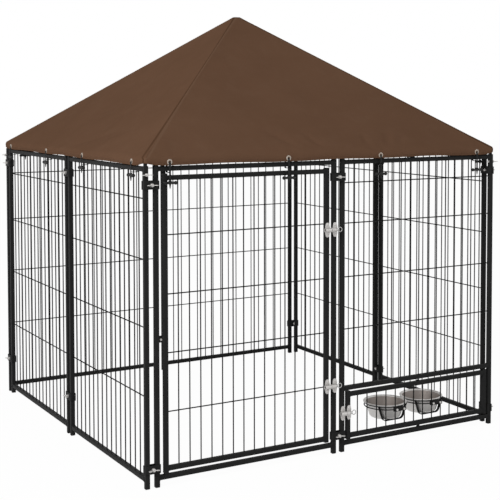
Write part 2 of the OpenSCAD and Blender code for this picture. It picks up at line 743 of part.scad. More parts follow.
module feeder_wires() color(BLACK) on_wall(0) translate([feeder_mid - feeder_half, 0, 0])
    for (i = [1:door_bays - 1])
        translate([i * feeder_pitch, 0, feeder_low + tube_w]) wire(feeder_high - feeder_low - tube_w);

// A round flanged bush through a feeder rail, flange first
module rail_bush() difference() {
    union() {
        translate([0, 0, -bush_flange]) cylinder(r = feeder_flange_r, h = bush_flange, $fn = 48);
        translate([0, 0, -bush_flange])
            cylinder(r = feeder_bush_r - run_gap, h = bush_flange + tube_w, $fn = 48);
    }
    translate([0, 0, -bush_flange - cut])
        cylinder(r = feeder_stud_d / 2 + run_gap, h = bush_flange + tube_w + 2 * cut, $fn = 48);
}

module feeder_pivot_bushes() color(RUBBER) on_wall(0) translate([feeder_mid, 0, 0]) {
    translate([0, 0, feeder_low]) rail_bush();
    translate([0, 0, feeder_high + tube_w]) mirror([0, 0, 1]) rail_bush();
}

// Places a bowl's own frame: its centre, with the feeder's wires at -bowl_reach
module at_bowl(side) on_wall(0) translate([feeder_mid + side * bowl_x, bowl_reach, 0]) children();

// Half of a bowl's outer outline from its axis to the top of its wall, moved inwards by t
function bowl_side(t) = let (c = [bowl_bottom_r(), bowl_corner_r])
    concat([[0, t]], arc(c, bowl_corner_r - t, -90, -bowl_lean, 8),
        [[wall_top_r - t / cos(bowl_lean), bowl_rim_z]]);
function bowl_bottom_r() = wall_top_r - bowl_corner_r * cos(bowl_lean)
    - tan(bowl_lean) * (bowl_rim_z - bowl_corner_r + bowl_corner_r * sin(bowl_lean));
function backwards(list) = [for (i = [len(list) - 1:-1:0]) list[i]];

module bowl(side) color(STEEL) at_bowl(side) translate([0, 0, bowl_z]) rotate_extrude($fn = 96) {
    polygon(concat(bowl_side(0), [[rim_r, bowl_rim_z], [rim_r, bowl_rim_z + bowl_wall]],
        [[wall_top_r - bowl_wall / cos(bowl_lean), bowl_rim_z + bowl_wall]],
        backwards(bowl_side(bowl_wall))));
    translate([rim_r, bowl_rim_z]) circle(r = bead_r, $fn = 24);
}

module left_bowl() bowl(-1);
module right_bowl() bowl(1);

// Outline of the strap that passes under the front of a bowl, grown outwards by t
function strap_side(t) = let (
    reach = sqrt(pow(hoop_r, 2) - pow(strap_back, 2)),
    low = bowl_z - seat_gap, corner = reach - strap_inset - strap_corner_r)
    concat([[reach + t, hoop_z + hoop_wire_d / 4]],
        backwards(arc([corner, low + strap_corner_r], strap_corner_r + t, -90, -strap_lean, 8)));
function mirrored(list) = [for (p = list) [-p.x, p.y]];

module bowl_strap() translate([0, strap_w / 2 - strap_back, 0]) upright(strap_w)
    polygon(concat(strap_side(strap_t), backwards(mirrored(strap_side(strap_t))),
        mirrored(strap_side(0)), backwards(strap_side(0))));

// Two hoops round the bowl, the strap below it and the plate behind the wires
module bowl_holder(side) color(BLACK) at_bowl(side) {
    front = wire_d / 2 - bowl_reach;
    difference() {
        union() {
            for (z = [hoop_z, hoop_z - hoop_step]) translate([0, 0, z])
                rotate_extrude($fn = 96) translate([hoop_r, 0]) circle(d = hoop_wire_d, $fn = 24);
            bowl_strap();
            translate([-holder_plate.x / 2, front, holder_z - holder_plate.z / 2]) cube(holder_plate);
            translate([-holder_stem_w / 2, front, holder_z - holder_stem_h / 2])
                cube([holder_stem_w, bowl_reach - hoop_r - wire_d / 2 + 1, holder_stem_h]);
        }
        for (s = [-1, 1]) translate([s * holder_bolt_x, front + holder_plate.y + cut, holder_z])
            rod_out(holder_bolt_r + slip / 2, holder_plate.y + 2 * cut, 32);
    }
}

module left_bowl_holder() bowl_holder(-1);
module right_bowl_holder() bowl_holder(1);

module holder_clamp_bars() color(BLACK) for (side = [-1, 1])
    at_bowl(side) translate([0, -bowl_reach - wire_d / 2, holder_z]) difference() {
        upright(holder_plate.y) square([holder_plate.x, holder_plate.z - 2], center = true);
        for (s = [-1, 1]) translate([s * holder_bolt_x, cut, 0])
            rod_out(holder_bolt_r + slip / 2, holder_plate.y + 2 * cut, 32);
    }

// A screw from the front through bar and plate, with a nut behind
module holder_bolts() color(ZINC) for (side = [-1, 1], s = [-1, 1])
    at_bowl(side) translate([s * holder_bolt_x, -bowl_reach, holder_z]) {
        behind = wire_d / 2 + holder_plate.y;
        translate([0, behind + holder_head_h, 0]) rod_out(holder_bolt_r, 2 * behind + holder_head_h, 32);
        translate([0, -behind, 0]) rod_out(holder_head_r, holder_head_h, 32);
        translate([0, behind + holder_head_h, 0]) rod_out(holder_head_r, holder_head_h, 6);
    }

door_panel_frame();
feeder_panel_frame();
back_left_frame();
back_right_frame();
left_front_frame();
left_rear_frame();
right_front_frame();
right_rear_frame();
feeder_panel_mesh();
back_left_mesh();
back_right_mesh();
left_front_mesh();
left_rear_mesh();
right_front_mesh();
right_rear_mesh();
upper_clamp_plates();
lower_clamp_plates();
clamp_bolts();
clamp_wing_nuts();
post_foot_caps();
post_top_caps();
front_left_roof_pole();
front_right_roof_pole();
back_right_roof_pole();
back_left_roof_pole();
roof_corner_fittings();
roof_hub();
roof_corner_bolts();
roof_corner_wing_nuts();
canopy();
canopy_grommets();
canopy_tie_elastics();
canopy_tie_toggles();
door_pivot_studs();
feeder_pivot_studs();
upper_latch_body();
lower_latch_body();
feeder_latch_keeper();
door_frame();
door_mesh();
door_pivot_bushes();
upper_latch_keeper();
lower_latch_keeper();
upper_latch_bolt();
lower_latch_bolt();
feeder_latch_bolt();
feeder_frame();
feeder_wires();
feeder_pivot_bushes();
left_bowl_holder();
right_bowl_holder();
holder_clamp_bars();
holder_bolts();
feeder_latch_body();
left_bowl();
right_bowl();
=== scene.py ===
"""Looks of a square outdoor run for dogs: tube and wire walls, a door, a turning feeder and a canopy.

Lengths are in millimetres in the run's own frame until a Skin becomes a mesh, which is in metres.
A wall's own frame has X along the wall, -Y outwards and Z up, and its middle at the wall's centre.
"""
import math

import bmesh
import bpy
import numpy as np
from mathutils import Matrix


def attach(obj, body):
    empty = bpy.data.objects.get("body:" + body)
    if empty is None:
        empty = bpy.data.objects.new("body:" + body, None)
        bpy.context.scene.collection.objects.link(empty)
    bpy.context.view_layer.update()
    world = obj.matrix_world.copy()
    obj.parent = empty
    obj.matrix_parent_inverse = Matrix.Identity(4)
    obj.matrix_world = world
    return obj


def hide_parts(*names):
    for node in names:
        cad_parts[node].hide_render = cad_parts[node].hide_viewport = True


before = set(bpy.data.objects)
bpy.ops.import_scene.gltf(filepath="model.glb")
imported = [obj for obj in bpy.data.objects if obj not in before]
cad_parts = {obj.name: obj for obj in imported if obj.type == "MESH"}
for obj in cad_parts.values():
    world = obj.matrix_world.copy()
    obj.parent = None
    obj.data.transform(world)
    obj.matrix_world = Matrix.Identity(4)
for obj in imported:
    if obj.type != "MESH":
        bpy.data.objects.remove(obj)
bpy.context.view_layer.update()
MM = 0.001

# Plan of the walls: each has two panels, A and B, and starts one clamp joint in from its corner
HALF = 692.5
TUBE = 15.0
FACE = TUBE / 2
JOINT = 34.0
PANEL_A = (JOINT - HALF, 0.0)
PANEL_B = (JOINT, HALF)
JOINT_PLACES = (JOINT / 2 - HALF, JOINT / 2)
WALLS = range(4)
FRONT, RIGHT, BACK, LEFT = WALLS

# Heights of the posts and rails
FOOT_CAP = 3.0
POST_TOP = 1008.0
TOP_CAP = 2.0
BOTTOM_RAIL = 22.0
TOP_RAIL = 991.0
TUBE_CORNER = 2.2
RAIL_SINK = 1.0
CAP_CORNER = 2.4
WELD_R, WELD_RIPPLES, WELD_RIPPLE_SHARE = 1.3, 14, 0.16

# Wire mesh
WIRE_R = 2.0
WIRE_BEHIND = 3.5
NUGGET_RADII = (2.7, 1.8, 2.7)
PANEL_BAYS, PANEL_END_BAY = 16, 1.28
DOOR_BAYS, DOOR_END_BAY = 15, 1.16
PANEL_ROWS = (0.261, 0.489, 0.712, 0.911)
DOOR_ROWS = (0.19, 0.397, 0.603, 0.81)
OVER_FEEDER_ROWS = (0.257, 0.493, 0.735, 0.917)

# Door and feeder
DOOR = (-628.1, -30.4)
DOOR_RAILS = (47.0, 962.0)
DOOR_STILE = (43.0, 981.0)
FEEDER_TOP_RAIL = 212.0
FEEDER_MID = 363.25
FEEDER_HALF = 304.25
FEEDER = (FEEDER_MID - FEEDER_HALF, FEEDER_MID + FEEDER_HALF)
FEEDER_RAILS = (45.0, 189.0)
FEEDER_STILE = (41.0, 208.0)

# Bowls and their holders
BOWL_X = 4 * FEEDER_HALF / DOOR_BAYS
BOWL_REACH = 90.0
BOWL_Z = 66.0
BOWL_RIM_Z = 56.2
BOWL_WALL = 1.2
BOWL_BOTTOM_R = 46.04
BOWL_TOP_R = 71.2
RIM_R = 77.2
BEAD_R = 1.8
HOOP_R = 75.2
HOOP_Z = 118.1
HOOP_STEP = 10.0
HOOP_WIRE_R = 2.0
STRAP_BACK = 46.0
STRAP_W = 11.0
STRAP_T = 2.5
STRAP_CORNER_R = 16.0
STRAP_INSET = 14.0
STRAP_LEAN = 14.0
HOLDER_Z = HOOP_Z - HOOP_STEP / 2
HOLDER_PLATE = (50.0, 15.0, 3.0)
STEM_W, STEM_H = 20.0, 12.0

# Latches: the bolt's axis stands off the tube's front face
LATCH_T = 2.0
LATCH_AXIS = 9.0
LATCH_W, LATCH_H = 18.0, 50.0
BARREL_R = 7.5
BOLT_R = 4.0
BODY_BORE_R = 4.05
KEEPER_BORE_R = 5.5
KEEPER_LEFT = -14.0
BARREL_END = -3.6
RING_X, RING_R, RING_WIRE_R = 15.0, 7.6, 1.4
DOOR_BARREL_LEFT = -19.9
FEEDER_BARREL_LEFT = -14.5
BOLT_INSET = 0.3
RIVET_R, RIVET_DOME = 3.0, 1.4
UPPER_LATCH_Z, LOWER_LATCH_Z, FEEDER_LATCH_Z = 771.0, 236.0, 135.0

# Clamps and wing nuts
CLAMP_HALF, CLAMP_H, CLAMP_T = 26.5, 27.0, 2.5
CLAMP_LIP, CLAMP_LIP_T = 6.0, 2.0
UPPER_CLAMP_Z = 949.0
LOWER_CLAMP_Z = (60.0, 60.0, 140.0, 140.0)
CLAMP_BOLT_R, CORNER_BOLT_R = 3.0, 2.5
CORNER_BOLT_Z = 981.0
WING_T, WING_HUB_H = 2.4, 8.0

# Canopy: four gores from the peak to the eave, and a hem below it
PEAK_Z, EAVE_Z = 1528.0, 1030.0
PEAK_HALF, EAVE_HALF = 12.0, 705.7
SLOPE_L = math.hypot(PEAK_Z - EAVE_Z, EAVE_HALF - PEAK_HALF)
SLOPE_SIN, SLOPE_COS = (PEAK_Z - EAVE_Z) / SLOPE_L, (EAVE_HALF - PEAK_HALF) / SLOPE_L
CANOPY_SAG, HEM_RISE, HEM_DEPTH = 14.0, 3.0, 22.0
HIP_BEND, EAVE_BEND, CORNER_BEND, TIE_BEND = 12.0, 16.0, 7.5, 7.0
CORNER_DRAW, CORNER_RISE = 1.0, 0.36
FABRIC_T = 1.0

# Small forms of the cloth: a slow billow, puckers at the ties, the hips' seams, ripples of the hem
BILLOW, BILLOW_ACROSS, BILLOW_DOWN = 0.8, 130.0, 115.0
PUCKER, PUCKER_RAYS, PUCKER_REACH, PUCKER_CLEAR = 1.2, 6, 75.0, 26.0
SEAM_RIDGE, SEAM_GROOVE, SEAM_W = 0.8, 0.7, 10.0
HIP_CALM, PEAK_CALM = 30.0, 60.0
RIPPLE, RIPPLE_LONG, RIPPLE_SHORT = 0.9, 23.0, 11.3

# Stitching of the cloth: rows beside the hips, which are about 1.28 slopes long, and two above the hem's edge
STITCH_PITCH, STITCH_L, STITCH_R = 8.5, 5.6, 0.5
HIP_L = SLOPE_L * 1.28
HIP_ROW_INSET, HIP_ROW_SPAN, HIP_ROW_LIFT = 4.5, (0.03, 0.975), 0.1
HEM_ROWS, HEM_ROW_ENDS, HEM_ROW_LIFT = (7.5, 3.5), 16.0, 0.15

# Nodes of the hip poles, which carry the canopy
POLES = [f"{corner}_roof_pole" for corner in ("front_left", "front_right", "back_left", "back_right")]

# Canopy ties along each wall
TIE_PLACES = (-616.0, -186.0, 186.0, 616.0)
TIE_Z = 1019.0
TIE_FRONT, TIE_BACK, TIE_UNDER = 707.7, 683.5, 986.0
TIE_W, TIE_T, TIE_CORNER_R = 6.0, 2.0, 3.0
EYELET_R, EYELET_HOLE_R, EYELET_T = 9.0, 4.5, 1.0
EYELET_OUTER_ROLL, EYELET_INNER_ROLL, EYELET_CLEAR = 1.6, 0.8, 4.0
TOGGLE_Z = (954.0, 976.0, 976.0, 976.0)
TOGGLE_ARM, TOGGLE_R, KNOB_R = 19.0, 4.5, 6.0
TOGGLE_BOSS = (10.0, 7.0, 7.0)
TOGGLE_TIP, TOGGLE_TIP_R, TOGGLE_ROOT_R = 18.0, 1.2, 3.4


class Tone:
    """A node's output as a number: sums, differences, products, comparisons and waves add Math nodes."""

    def __init__(self, nodes, socket):
        self.nodes, self.socket = nodes, socket

    def math(self, operation, first, second=0.0):
        return self.nodes.add("ShaderNodeMath", {"operation": operation}, {0: first, 1: second})

    def __add__(self, other):
        return self.math("ADD", self, other)

    def __sub__(self, other):
        return self.math("SUBTRACT", self, other)

    def __rsub__(self, other):
        return self.math("SUBTRACT", other, self)

    def __mul__(self, other):
        return self.math("MULTIPLY", self, other)

    def __gt__(self, other):
        return self.math("GREATER_THAN", self, other)

    def __abs__(self):
        return self.math("ABSOLUTE", self)

    def wave(self, rate):
        return self.math("SINE", self * rate)

    __radd__, __rmul__ = __add__, __mul__


class Nodes:
    """The node tree of a material or a world."""

    def __init__(self, owner):
        owner.use_nodes = True
        self.tree = owner.node_tree

    def set(self, socket, value):
        """Links a Tone to a socket, or gives the socket a plain value."""
        if isinstance(value, Tone):
            self.tree.links.new(value.socket, socket)
        else:
            socket.default_value = value

    def add(self, kind, settings=None, inputs=None, output=0):
        """Any node: its settings first, with a ramp's stops among them, then its sockets."""
        node = self.tree.nodes.new(kind)
        for name, value in (settings or {}).items():
            if name == "stops":
                for index, (place, level) in enumerate(value):
                    stop = node.color_ramp.elements[index] if index < 2 else node.color_ramp.elements.new(place)
                    stop.position, stop.color = place, (level, level, level, 1)
            else:
                setattr(node, name, value)
        for name, value in (inputs or {}).items():
            self.set(node.inputs[name], value)
        return Tone(self, node.outputs[output])

    def show(self, output, share, seen, unseen):
        """Ends the tree in a blend: camera, mirror and glass rays see more of one shader, by a share,
        and the rays that light the object see only the other."""
        camera, mirror, glass = (self.add("ShaderNodeLightPath", output=f"Is {kind} Ray")
                                 for kind in ("Camera", "Glossy", "Transmission"))
        blend = self.add("ShaderNodeMixShader", None, {0: share * (camera + mirror + glass), 1: unseen, 2: seen})
        self.set(self.tree.nodes[output].inputs["Surface"], blend)


class Finish(Nodes):
    """A procedural material. Values that hold all over are set on the shader's own sockets."""

    def __init__(self, name, slot, **values):
        self.material, self.slot = bpy.data.materials.new(name), slot
        super().__init__(self.material)
        self.shader = self.tree.nodes["Principled BSDF"]
        for socket, value in values.items():
            self.shader.inputs[socket.replace("_", " ")].default_value = value

    def place(self, kind="Object"):
        return self.add("ShaderNodeTexCoord", output=kind)

    def noise(self, place, scale, detail=2.0, roughness=0.5):
        return self.add("ShaderNodeTexNoise", None,
                        {"Vector": place, "Scale": scale, "Detail": detail, "Roughness": roughness})

    def ramp(self, tone, *stops):
        return self.add("ShaderNodeValToRGB", {"stops": stops}, {0: tone})

    def mix(self, share, first, second):
        """Blends two colours by a share from 0 to 1."""
        return self.add("ShaderNodeMix", {"data_type": "RGBA"}, {0: share, 6: first, 7: second}, 2)

    def bump(self, height, strength, distance):
        return self.add("ShaderNodeBump", None,
                        {"Strength": strength, "Distance": distance, "Height": height})

    def feed(self, colour, roughness, normal):
        for name, value in (("Base Color", colour), ("Roughness", roughness), ("Normal", normal)):
            self.set(self.shader.inputs[name], value)


def grey(level, warmth=0.0):
    """A grey as a colour, a little warmer than neutral."""
    return (level * (1 + warmth), level, level * (1 - warmth), 1.0)


def powder_coat():
    """Black paint with a fine orange peel, slow clouding and a few pale rubs."""
    paint = Finish("black powder coat", "black_paint", Specular_IOR_Level=0.02)
    place = paint.place()
    cloud, peel = paint.noise(place, 7, 4), paint.noise(place, 620, 2)
    rubs = paint.ramp(paint.noise(place, 38, 7, 0.68), (0.66, 0), (0.74, 1))
    colour = paint.mix(cloud, grey(0.0155), grey(0.023))
    colour = paint.mix(rubs * 0.3, colour, grey(0.035))
    paint.feed(colour, 0.36 + 0.16 * cloud + 0.1 * rubs, paint.bump(peel, 0.22, 0.0005))
    return paint


def wire_coat():
    """The same paint on wire, where it runs thicker and glossier."""
    paint = Finish("black wire coat", "black_wire", Specular_IOR_Level=0.03)
    place = paint.place()
    cloud, runs = paint.noise(place, 11, 3), paint.noise(place, 260, 3)
    colour = paint.mix(cloud, grey(0.006), grey(0.011))
    paint.feed(colour, 0.3 + 0.2 * cloud, paint.bump(runs, 0.25, 0.0006))
    return paint


def zinc():
    """Matt zinc plate: small crystals of slightly different greys under fine scratches."""
    plate = Finish("zinc plate", "zinc_plate", Metallic=0.5)
    place = plate.place()
    crystal = plate.add("ShaderNodeTexVoronoi", None, {"Vector": place, "Scale": 420.0}, "Color")
    grain = plate.noise(crystal, 3, 1)
    stain = plate.noise(place, 26, 5, 0.62)
    scratch = plate.noise(place, 1500, 2)
    colour = plate.mix(grain, grey(0.46, 0.025), grey(0.59, 0.03))
    colour = plate.mix(plate.ramp(stain, (0.5, 0), (0.75, 1)) * 0.4, colour, grey(0.38, 0.05))
    plate.feed(colour, 0.34 + 0.14 * grain + 0.12 * stain, plate.bump(scratch, 0.12, 0.0003))
    return plate


def dull_nickel():
    """Thin nickel on brass, worn to a warm grey where it's handled."""
    plate = Finish("dull nickel", "zinc_plate", Metallic=0.6)
    place = plate.place()
    wear, grain = plate.noise(place, 90, 4, 0.6), plate.noise(place, 1300, 2)
    colour = plate.mix(plate.ramp(wear, (0.35, 0), (0.7, 1)), grey(0.36, 0.13), grey(0.25, 0.18))
    plate.feed(colour, 0.4 + 0.2 * wear, plate.bump(grain, 0.12, 0.0002))
    return plate


def bright_steel():
    """Turned bolt steel with a plated film."""
    steel = Finish("bright bolt steel", "bolt_steel", Metallic=0.95)
    place = steel.place()
    film, turned_marks = steel.noise(place, 60, 4), steel.noise(place, 2200, 1)
    colour = steel.mix(film, grey(0.32, 0.01), grey(0.46, 0.02))
    steel.feed(colour, 0.2 + 0.2 * film, steel.bump(turned_marks, 0.1, 0.0002))
    return steel


def stainless():
    """Spun stainless steel: fine rings that follow the bowl's outline, a soft smear of use,
    and a brown film inside, which starts past the rim along the outline."""
    inside_starts = 0.132
    steel = Finish("spun stainless steel", "bowl_steel", Metallic=0.7)
    rings = steel.add("ShaderNodeSeparateXYZ", None, {0: steel.place("UV")}, "Y")
    line = steel.add("ShaderNodeTexNoise", {"noise_dimensions": "1D"}, {"W": rings, "Scale": 900.0, "Detail": 3.0})
    smear = steel.noise(steel.place(), 22, 4)
    colour = steel.mix(line * 0.5 + smear * 0.5, grey(0.52, 0.025), grey(0.74, 0.02))
    colour = steel.mix((rings > inside_starts) * 0.8, colour, (0.235, 0.195, 0.172, 1))
    steel.feed(colour, 0.38 + 0.1 * line + 0.14 * smear, steel.bump(line, 0.12, 0.0002))
    return steel


def woven_polyester():
    """Coated plain weave: threads over and under each other along the cloth's own directions, with
    uneven dyeing, a little dust that gathers in slow patches, and along each hip a painted shade on the gore
    that ends there, where the seam's groove is in shadow, and a painted highlight on the gore that starts."""
    thread_pair, seam_share = 0.0013, 70
    cloth = Finish("brown woven polyester", "canopy_fabric", Specular_IOR_Level=0.0)
    uv, place = cloth.place("UV"), cloth.place()
    axes = [cloth.add("ShaderNodeSeparateXYZ", None, {0: uv}, axis) for axis in "XY"]
    warp, weft = (axis.wave(2 * math.pi / thread_pair) for axis in axes)
    weave = warp * weft
    slub, dye = cloth.noise(uv, 420, 2), cloth.noise(place, 5, 5, 0.6)
    dust = cloth.ramp(cloth.noise(place, 16, 6, 0.65), (0.5, 0), (0.8, 1))
    colour = cloth.mix(dye, (0.098, 0.0522, 0.0308, 1), (0.129, 0.07, 0.0425, 1))
    colour = cloth.mix(slub * 0.3, colour, (0.0866, 0.046, 0.0276, 1))
    colour = cloth.mix(dust * 0.06, colour, (0.2, 0.14, 0.1, 1))
    slope = axes[1] * SLOPE_COS + PEAK_HALF * (1 - SLOPE_COS) * MM
    hip = slope.math("MINIMUM", slope, EAVE_HALF * MM) - abs(axes[0])
    # Painted shade in a band beside each hip on the gore that ends there, and a painted highlight on the gore that
    # starts there: they stand in for the seam's groove and ridge.
    painted_seam_shade = cloth.ramp(hip * seam_share, (0.0, 0.3), (0.2, 1), (0.7, 1), (1.0, 0)) * (axes[0] > 0)
    painted_seam_highlight = cloth.ramp(hip * seam_share, (0.0, 0), (0.3, 1), (0.6, 1), (1.0, 0)) * (axes[0] * -1 > 0)
    # The painted shade darkens the cloth's colour, then the painted highlight lightens it.
    colour = cloth.mix(painted_seam_shade * 0.6, colour, (0.045, 0.022, 0.011, 1))
    colour = cloth.mix(painted_seam_highlight * 0.25, colour, (0.16, 0.1, 0.066, 1))
    cloth.feed(colour, 0.62 + 0.16 * dye, cloth.bump(weave * 0.5 + slub * 0.6, 0.3, 0.0004))
    return cloth


def seam_thread():
    """Brown sewing thread, a little darker than the cloth, with a twist."""
    thread = Finish("brown thread", "canopy_fabric", Specular_IOR_Level=0.05)
    twist = thread.noise(thread.place(), 1800, 2)
    thread.feed(thread.mix(twist, (0.07, 0.036, 0.02, 1), (0.1, 0.052, 0.03, 1)), 0.6 + 0.2 * twist,
                thread.bump(twist, 0.3, 0.0003))
    return thread


def braided_elastic():
    """A flat braid: two sets of slanting strands, from the band's own length and width."""
    strand_turn = 3600.0
    braid = Finish("black braided elastic", "black_elastic", Sheen_Weight=0.03, Specular_IOR_Level=0.15)
    u, v = (braid.add("ShaderNodeSeparateXYZ", None, {0: braid.place("UV")}, axis) for axis in "XY")
    strand = (u + v).wave(strand_turn) * (u - v).wave(strand_turn)
    fuzz = braid.noise(braid.place(), 900, 3)
    braid.feed(braid.mix(fuzz, grey(0.007), grey(0.018)), 0.66 + 0.2 * fuzz,
               braid.bump(strand * 0.6 + fuzz, 0.4, 0.0005))
    return braid


def moulded_plastic():
    """Black moulded plastic with a spark-eroded texture and pale dust."""
    plastic = Finish("black moulded plastic", "black_plastic", Specular_IOR_Level=0.18)
    place = plastic.place()
    grain, dust = plastic.noise(place, 1100, 2), plastic.noise(place, 40, 5, 0.6)
    colour = plastic.mix(plastic.ramp(dust, (0.45, 0), (0.8, 1)) * 0.5, grey(0.01), grey(0.024))
    plastic.feed(colour, 0.42 + 0.18 * dust, plastic.bump(grain, 0.25, 0.0004))
    return plastic


POWDER_COAT, WIRE_COAT, ZINC, BRIGHT_STEEL = powder_coat(), wire_coat(), zinc(), bright_steel()
STAINLESS, POLYESTER, THREAD, NICKEL = stainless(), woven_polyester(), seam_thread(), dull_nickel()
ELASTIC, PLASTIC = braided_elastic(), moulded_plastic()


def linked(name, data):
    """A new object of the scene, at the origin."""
    thing = bpy.data.objects.new(name, data)
    bpy.context.scene.collection.objects.link(thing)
    return thing


class Skin:
    """Grids of points gathered into one mesh, with UVs in metres along each grid."""

    def __init__(self):
        self.points, self.uv, self.quads, self.caps, self.count = [], [], [], [], 0

    def grid(self, points, capped=False, uv=None):
        """Joins neighbouring points of one or many (rows, columns) grids by quads. The UV is the
        length walked along the row and along the column. Capped grids get a face at each end."""
        rows, columns = points.shape[-3:-1]
        grids = points.reshape(-1, rows, columns, 3)
        at = self.count + np.arange(grids[..., 0].size).reshape(grids.shape[:3])
        self.quads.append(np.stack([at[:, :-1, :-1], at[:, :-1, 1:], at[:, 1:, 1:], at[:, 1:, :-1]], -1).reshape(-1, 4))
        if uv is None:
            uv = np.stack([walked(grids, 2), walked(grids, 1)], -1)
        self.points.append(grids.reshape(-1, 3))
        self.uv.append(uv.reshape(-1, 2))
        self.count += at.size
        if capped:
            self.caps += at[:, 0, -2::-1].tolist() + at[:, -1, :-1].tolist()

    def piece(self, name, finish, body, *nodes, closed=True, sharp=38):
        """One object at the origin that rides on a body and stands for CAD nodes. Points that meet
        are merged, and a closed skin's faces are turned outwards."""
        mesh = bpy.data.meshes.new(name)
        mesh.from_pydata((np.concatenate(self.points) * MM).tolist(), [],
                         np.concatenate(self.quads).tolist() + self.caps)
        corners = np.empty(len(mesh.loops), np.int32)
        mesh.loops.foreach_get("vertex_index", corners)
        uv = (np.concatenate(self.uv) * MM)[corners].astype(np.float32)
        mesh.uv_layers.new(name="along").uv.foreach_set("vector", uv.ravel())
        work = bmesh.new()
        work.from_mesh(mesh)
        bmesh.ops.remove_doubles(work, verts=work.verts, dist=2e-6)
        if closed:
            bmesh.ops.recalc_face_normals(work, faces=work.faces)
        work.to_mesh(mesh)
        work.free()
        mesh.shade_smooth()
        mesh.set_sharp_from_angle(angle=math.radians(sharp))
        mesh.materials.append(finish.material)
        piece = linked(name, mesh)
        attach(piece, body)
        if nodes:
            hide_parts(*nodes)
        return piece


def walked(grids, axis):
    """The length walked from the first point of each line along one axis of the grids."""
    steps = np.linalg.norm(np.diff(grids, axis=axis), axis=-1)
    return np.concatenate([np.zeros_like(steps.take([0], axis)), np.cumsum(steps, axis)], axis)


def quarter(points, k):
    """Turns points k quarter turns about the run's upright axis."""
    c, s = ((1, 0), (0, 1), (-1, 0), (0, -1))[k]
    x, y, z = np.moveaxis(points, -1, 0)
    return np.stack([c * x - s * y, s * x + c * y, z], -1)


def on_wall(points, k):
    """Sets points of a wall's own frame into the run's: out to the wall, then round to its side."""
    return quarter(points + np.array([0, -HALF, 0]), k)


def turned(points, axis, degrees):
    """Turns points about one of the axes X, Y, Z, right-handed."""
    a, b = ((1, 2), (2, 0), (0, 1))["XYZ".index(axis)]
    c, s = math.cos(math.radians(degrees)), math.sin(math.radians(degrees))
    result = points.copy()
    result[..., a] = c * points[..., a] - s * points[..., b]
    result[..., b] = s * points[..., a] + c * points[..., b]
    return result


def moved(points, x=0.0, y=0.0, z=0.0):
    """Shifts points along the three axes."""
    return points + np.array([x, y, z])


def outwards(points):
    """Lays an upright shape on a wall: its own X stays, its Y becomes Z and its Z points outwards."""
    x, y, z = np.moveaxis(points, -1, 0)
    return np.stack([x, -z, y], -1)


def ring(radius, sides):
    """A circle that ends where it starts."""
    a = np.linspace(0, 2 * np.pi, sides + 1)
    return radius * np.stack([np.cos(a), np.sin(a)], -1)


def arc(centre, radius, start, end, steps):
    """Points of an arc, from one angle in degrees to another."""
    a = np.radians(np.linspace(start, end, steps + 1))
    return np.array(centre) + radius * np.stack([np.cos(a), np.sin(a)], -1)


def rounded(corners, radius, steps=3, closed=True):
    """An outline whose corners are quadratic curves between the points one radius before and after.
    A closed outline ends where it starts; an open one keeps its two ends."""
    p = np.asarray(corners, float)
    before, after = np.roll(p, 1, 0) - p, np.roll(p, -1, 0) - p
    size = np.broadcast_to(np.asarray(radius, float), len(p))[:, None]
    start, end = (p + size * side / np.linalg.norm(side, axis=1, keepdims=True) for side in (before, after))
    t = np.linspace(0, 1, steps + 1)[:, None]
    curve = (1 - t) ** 2 * start[:, None] + 2 * t * (1 - t) * p[:, None] + t ** 2 * end[:, None]
    if closed:
        return np.concatenate([curve.reshape(-1, 2), curve[0, :1]])
    return np.concatenate([p[:1], curve[1:-1].reshape(-1, 2), p[-1:]])


def box_outline(width, height, radius, steps=3):
    """A rectangle about the origin with rounded corners."""
    x, y = width / 2, height / 2
    return rounded([(x, -y), (x, y), (-x, y), (-x, -y)], radius, steps)


def carried(path, profile, side, scale=1.0):
    """A profile carried along a path. At each point it lies on two axes square to the path, the
    first of them as near as can be to `side`, and is scaled there."""
    path = np.asarray(path, float)
    along = np.gradient(path, axis=0)
    if np.allclose(path[0], path[-1]):
        along[0] = along[-1] = path[1] - path[-2]
    along /= np.linalg.norm(along, axis=1, keepdims=True)
    up = np.cross(along, side)
    up /= np.linalg.norm(up, axis=1, keepdims=True)
    across = np.cross(up, along)
    size = np.broadcast_to(np.asarray(scale, float), len(path))[:, None, None]
    return path[:, None] + size * (profile[:, :1] * across[:, None] + profile[:, 1:] * up[:, None])


def lathe(profile, sides):
    """A profile of (radius, height) turned about Z."""
    a = np.linspace(0, 2 * np.pi, sides + 1)
    radius, height = np.asarray(profile, float).T
    return np.stack([radius[:, None] * np.cos(a), radius[:, None] * np.sin(a),
                     np.repeat(height[:, None], sides + 1, 1)], -1)


def raised(outline, low, high, bevel):
    """A flat outline raised from low to high along Z. Towards each end it draws in along a quarter
    circle of the bevel's radius, square to the outline."""
    loop = outline[:-1]
    if np.sum(loop[:, 0] * np.roll(loop[:, 1], -1) - np.roll(loop[:, 0], -1) * loop[:, 1]) < 0:
        outline = outline[::-1]
        loop = outline[:-1]
    tangent = np.roll(loop, -1, 0) - np.roll(loop, 1, 0)
    out = np.stack([tangent[:, 1], -tangent[:, 0]], -1)
    out /= np.linalg.norm(out, axis=1, keepdims=True)
    out = np.concatenate([out, out[:1]])
    a = np.linspace(0, np.pi / 2, 4)
    inset, rise = bevel * (1 - np.sin(a)), bevel * (1 - np.cos(a))
    inset, level = np.concatenate([inset, inset[::-1]]), np.concatenate([low + rise, high - rise[::-1]])
    flat = outline[None] - inset[:, None, None] * out[None]
    return np.concatenate([flat, np.repeat(level[:, None, None], len(outline), 1)], -1)


def ball(radii):
    """A small ellipsoid: a half circle turned about Z and stretched."""
    a = np.linspace(-np.pi / 2, np.pi / 2, 5)
    return lathe(np.stack([np.cos(a), np.sin(a)], -1), 8) * np.array(radii)


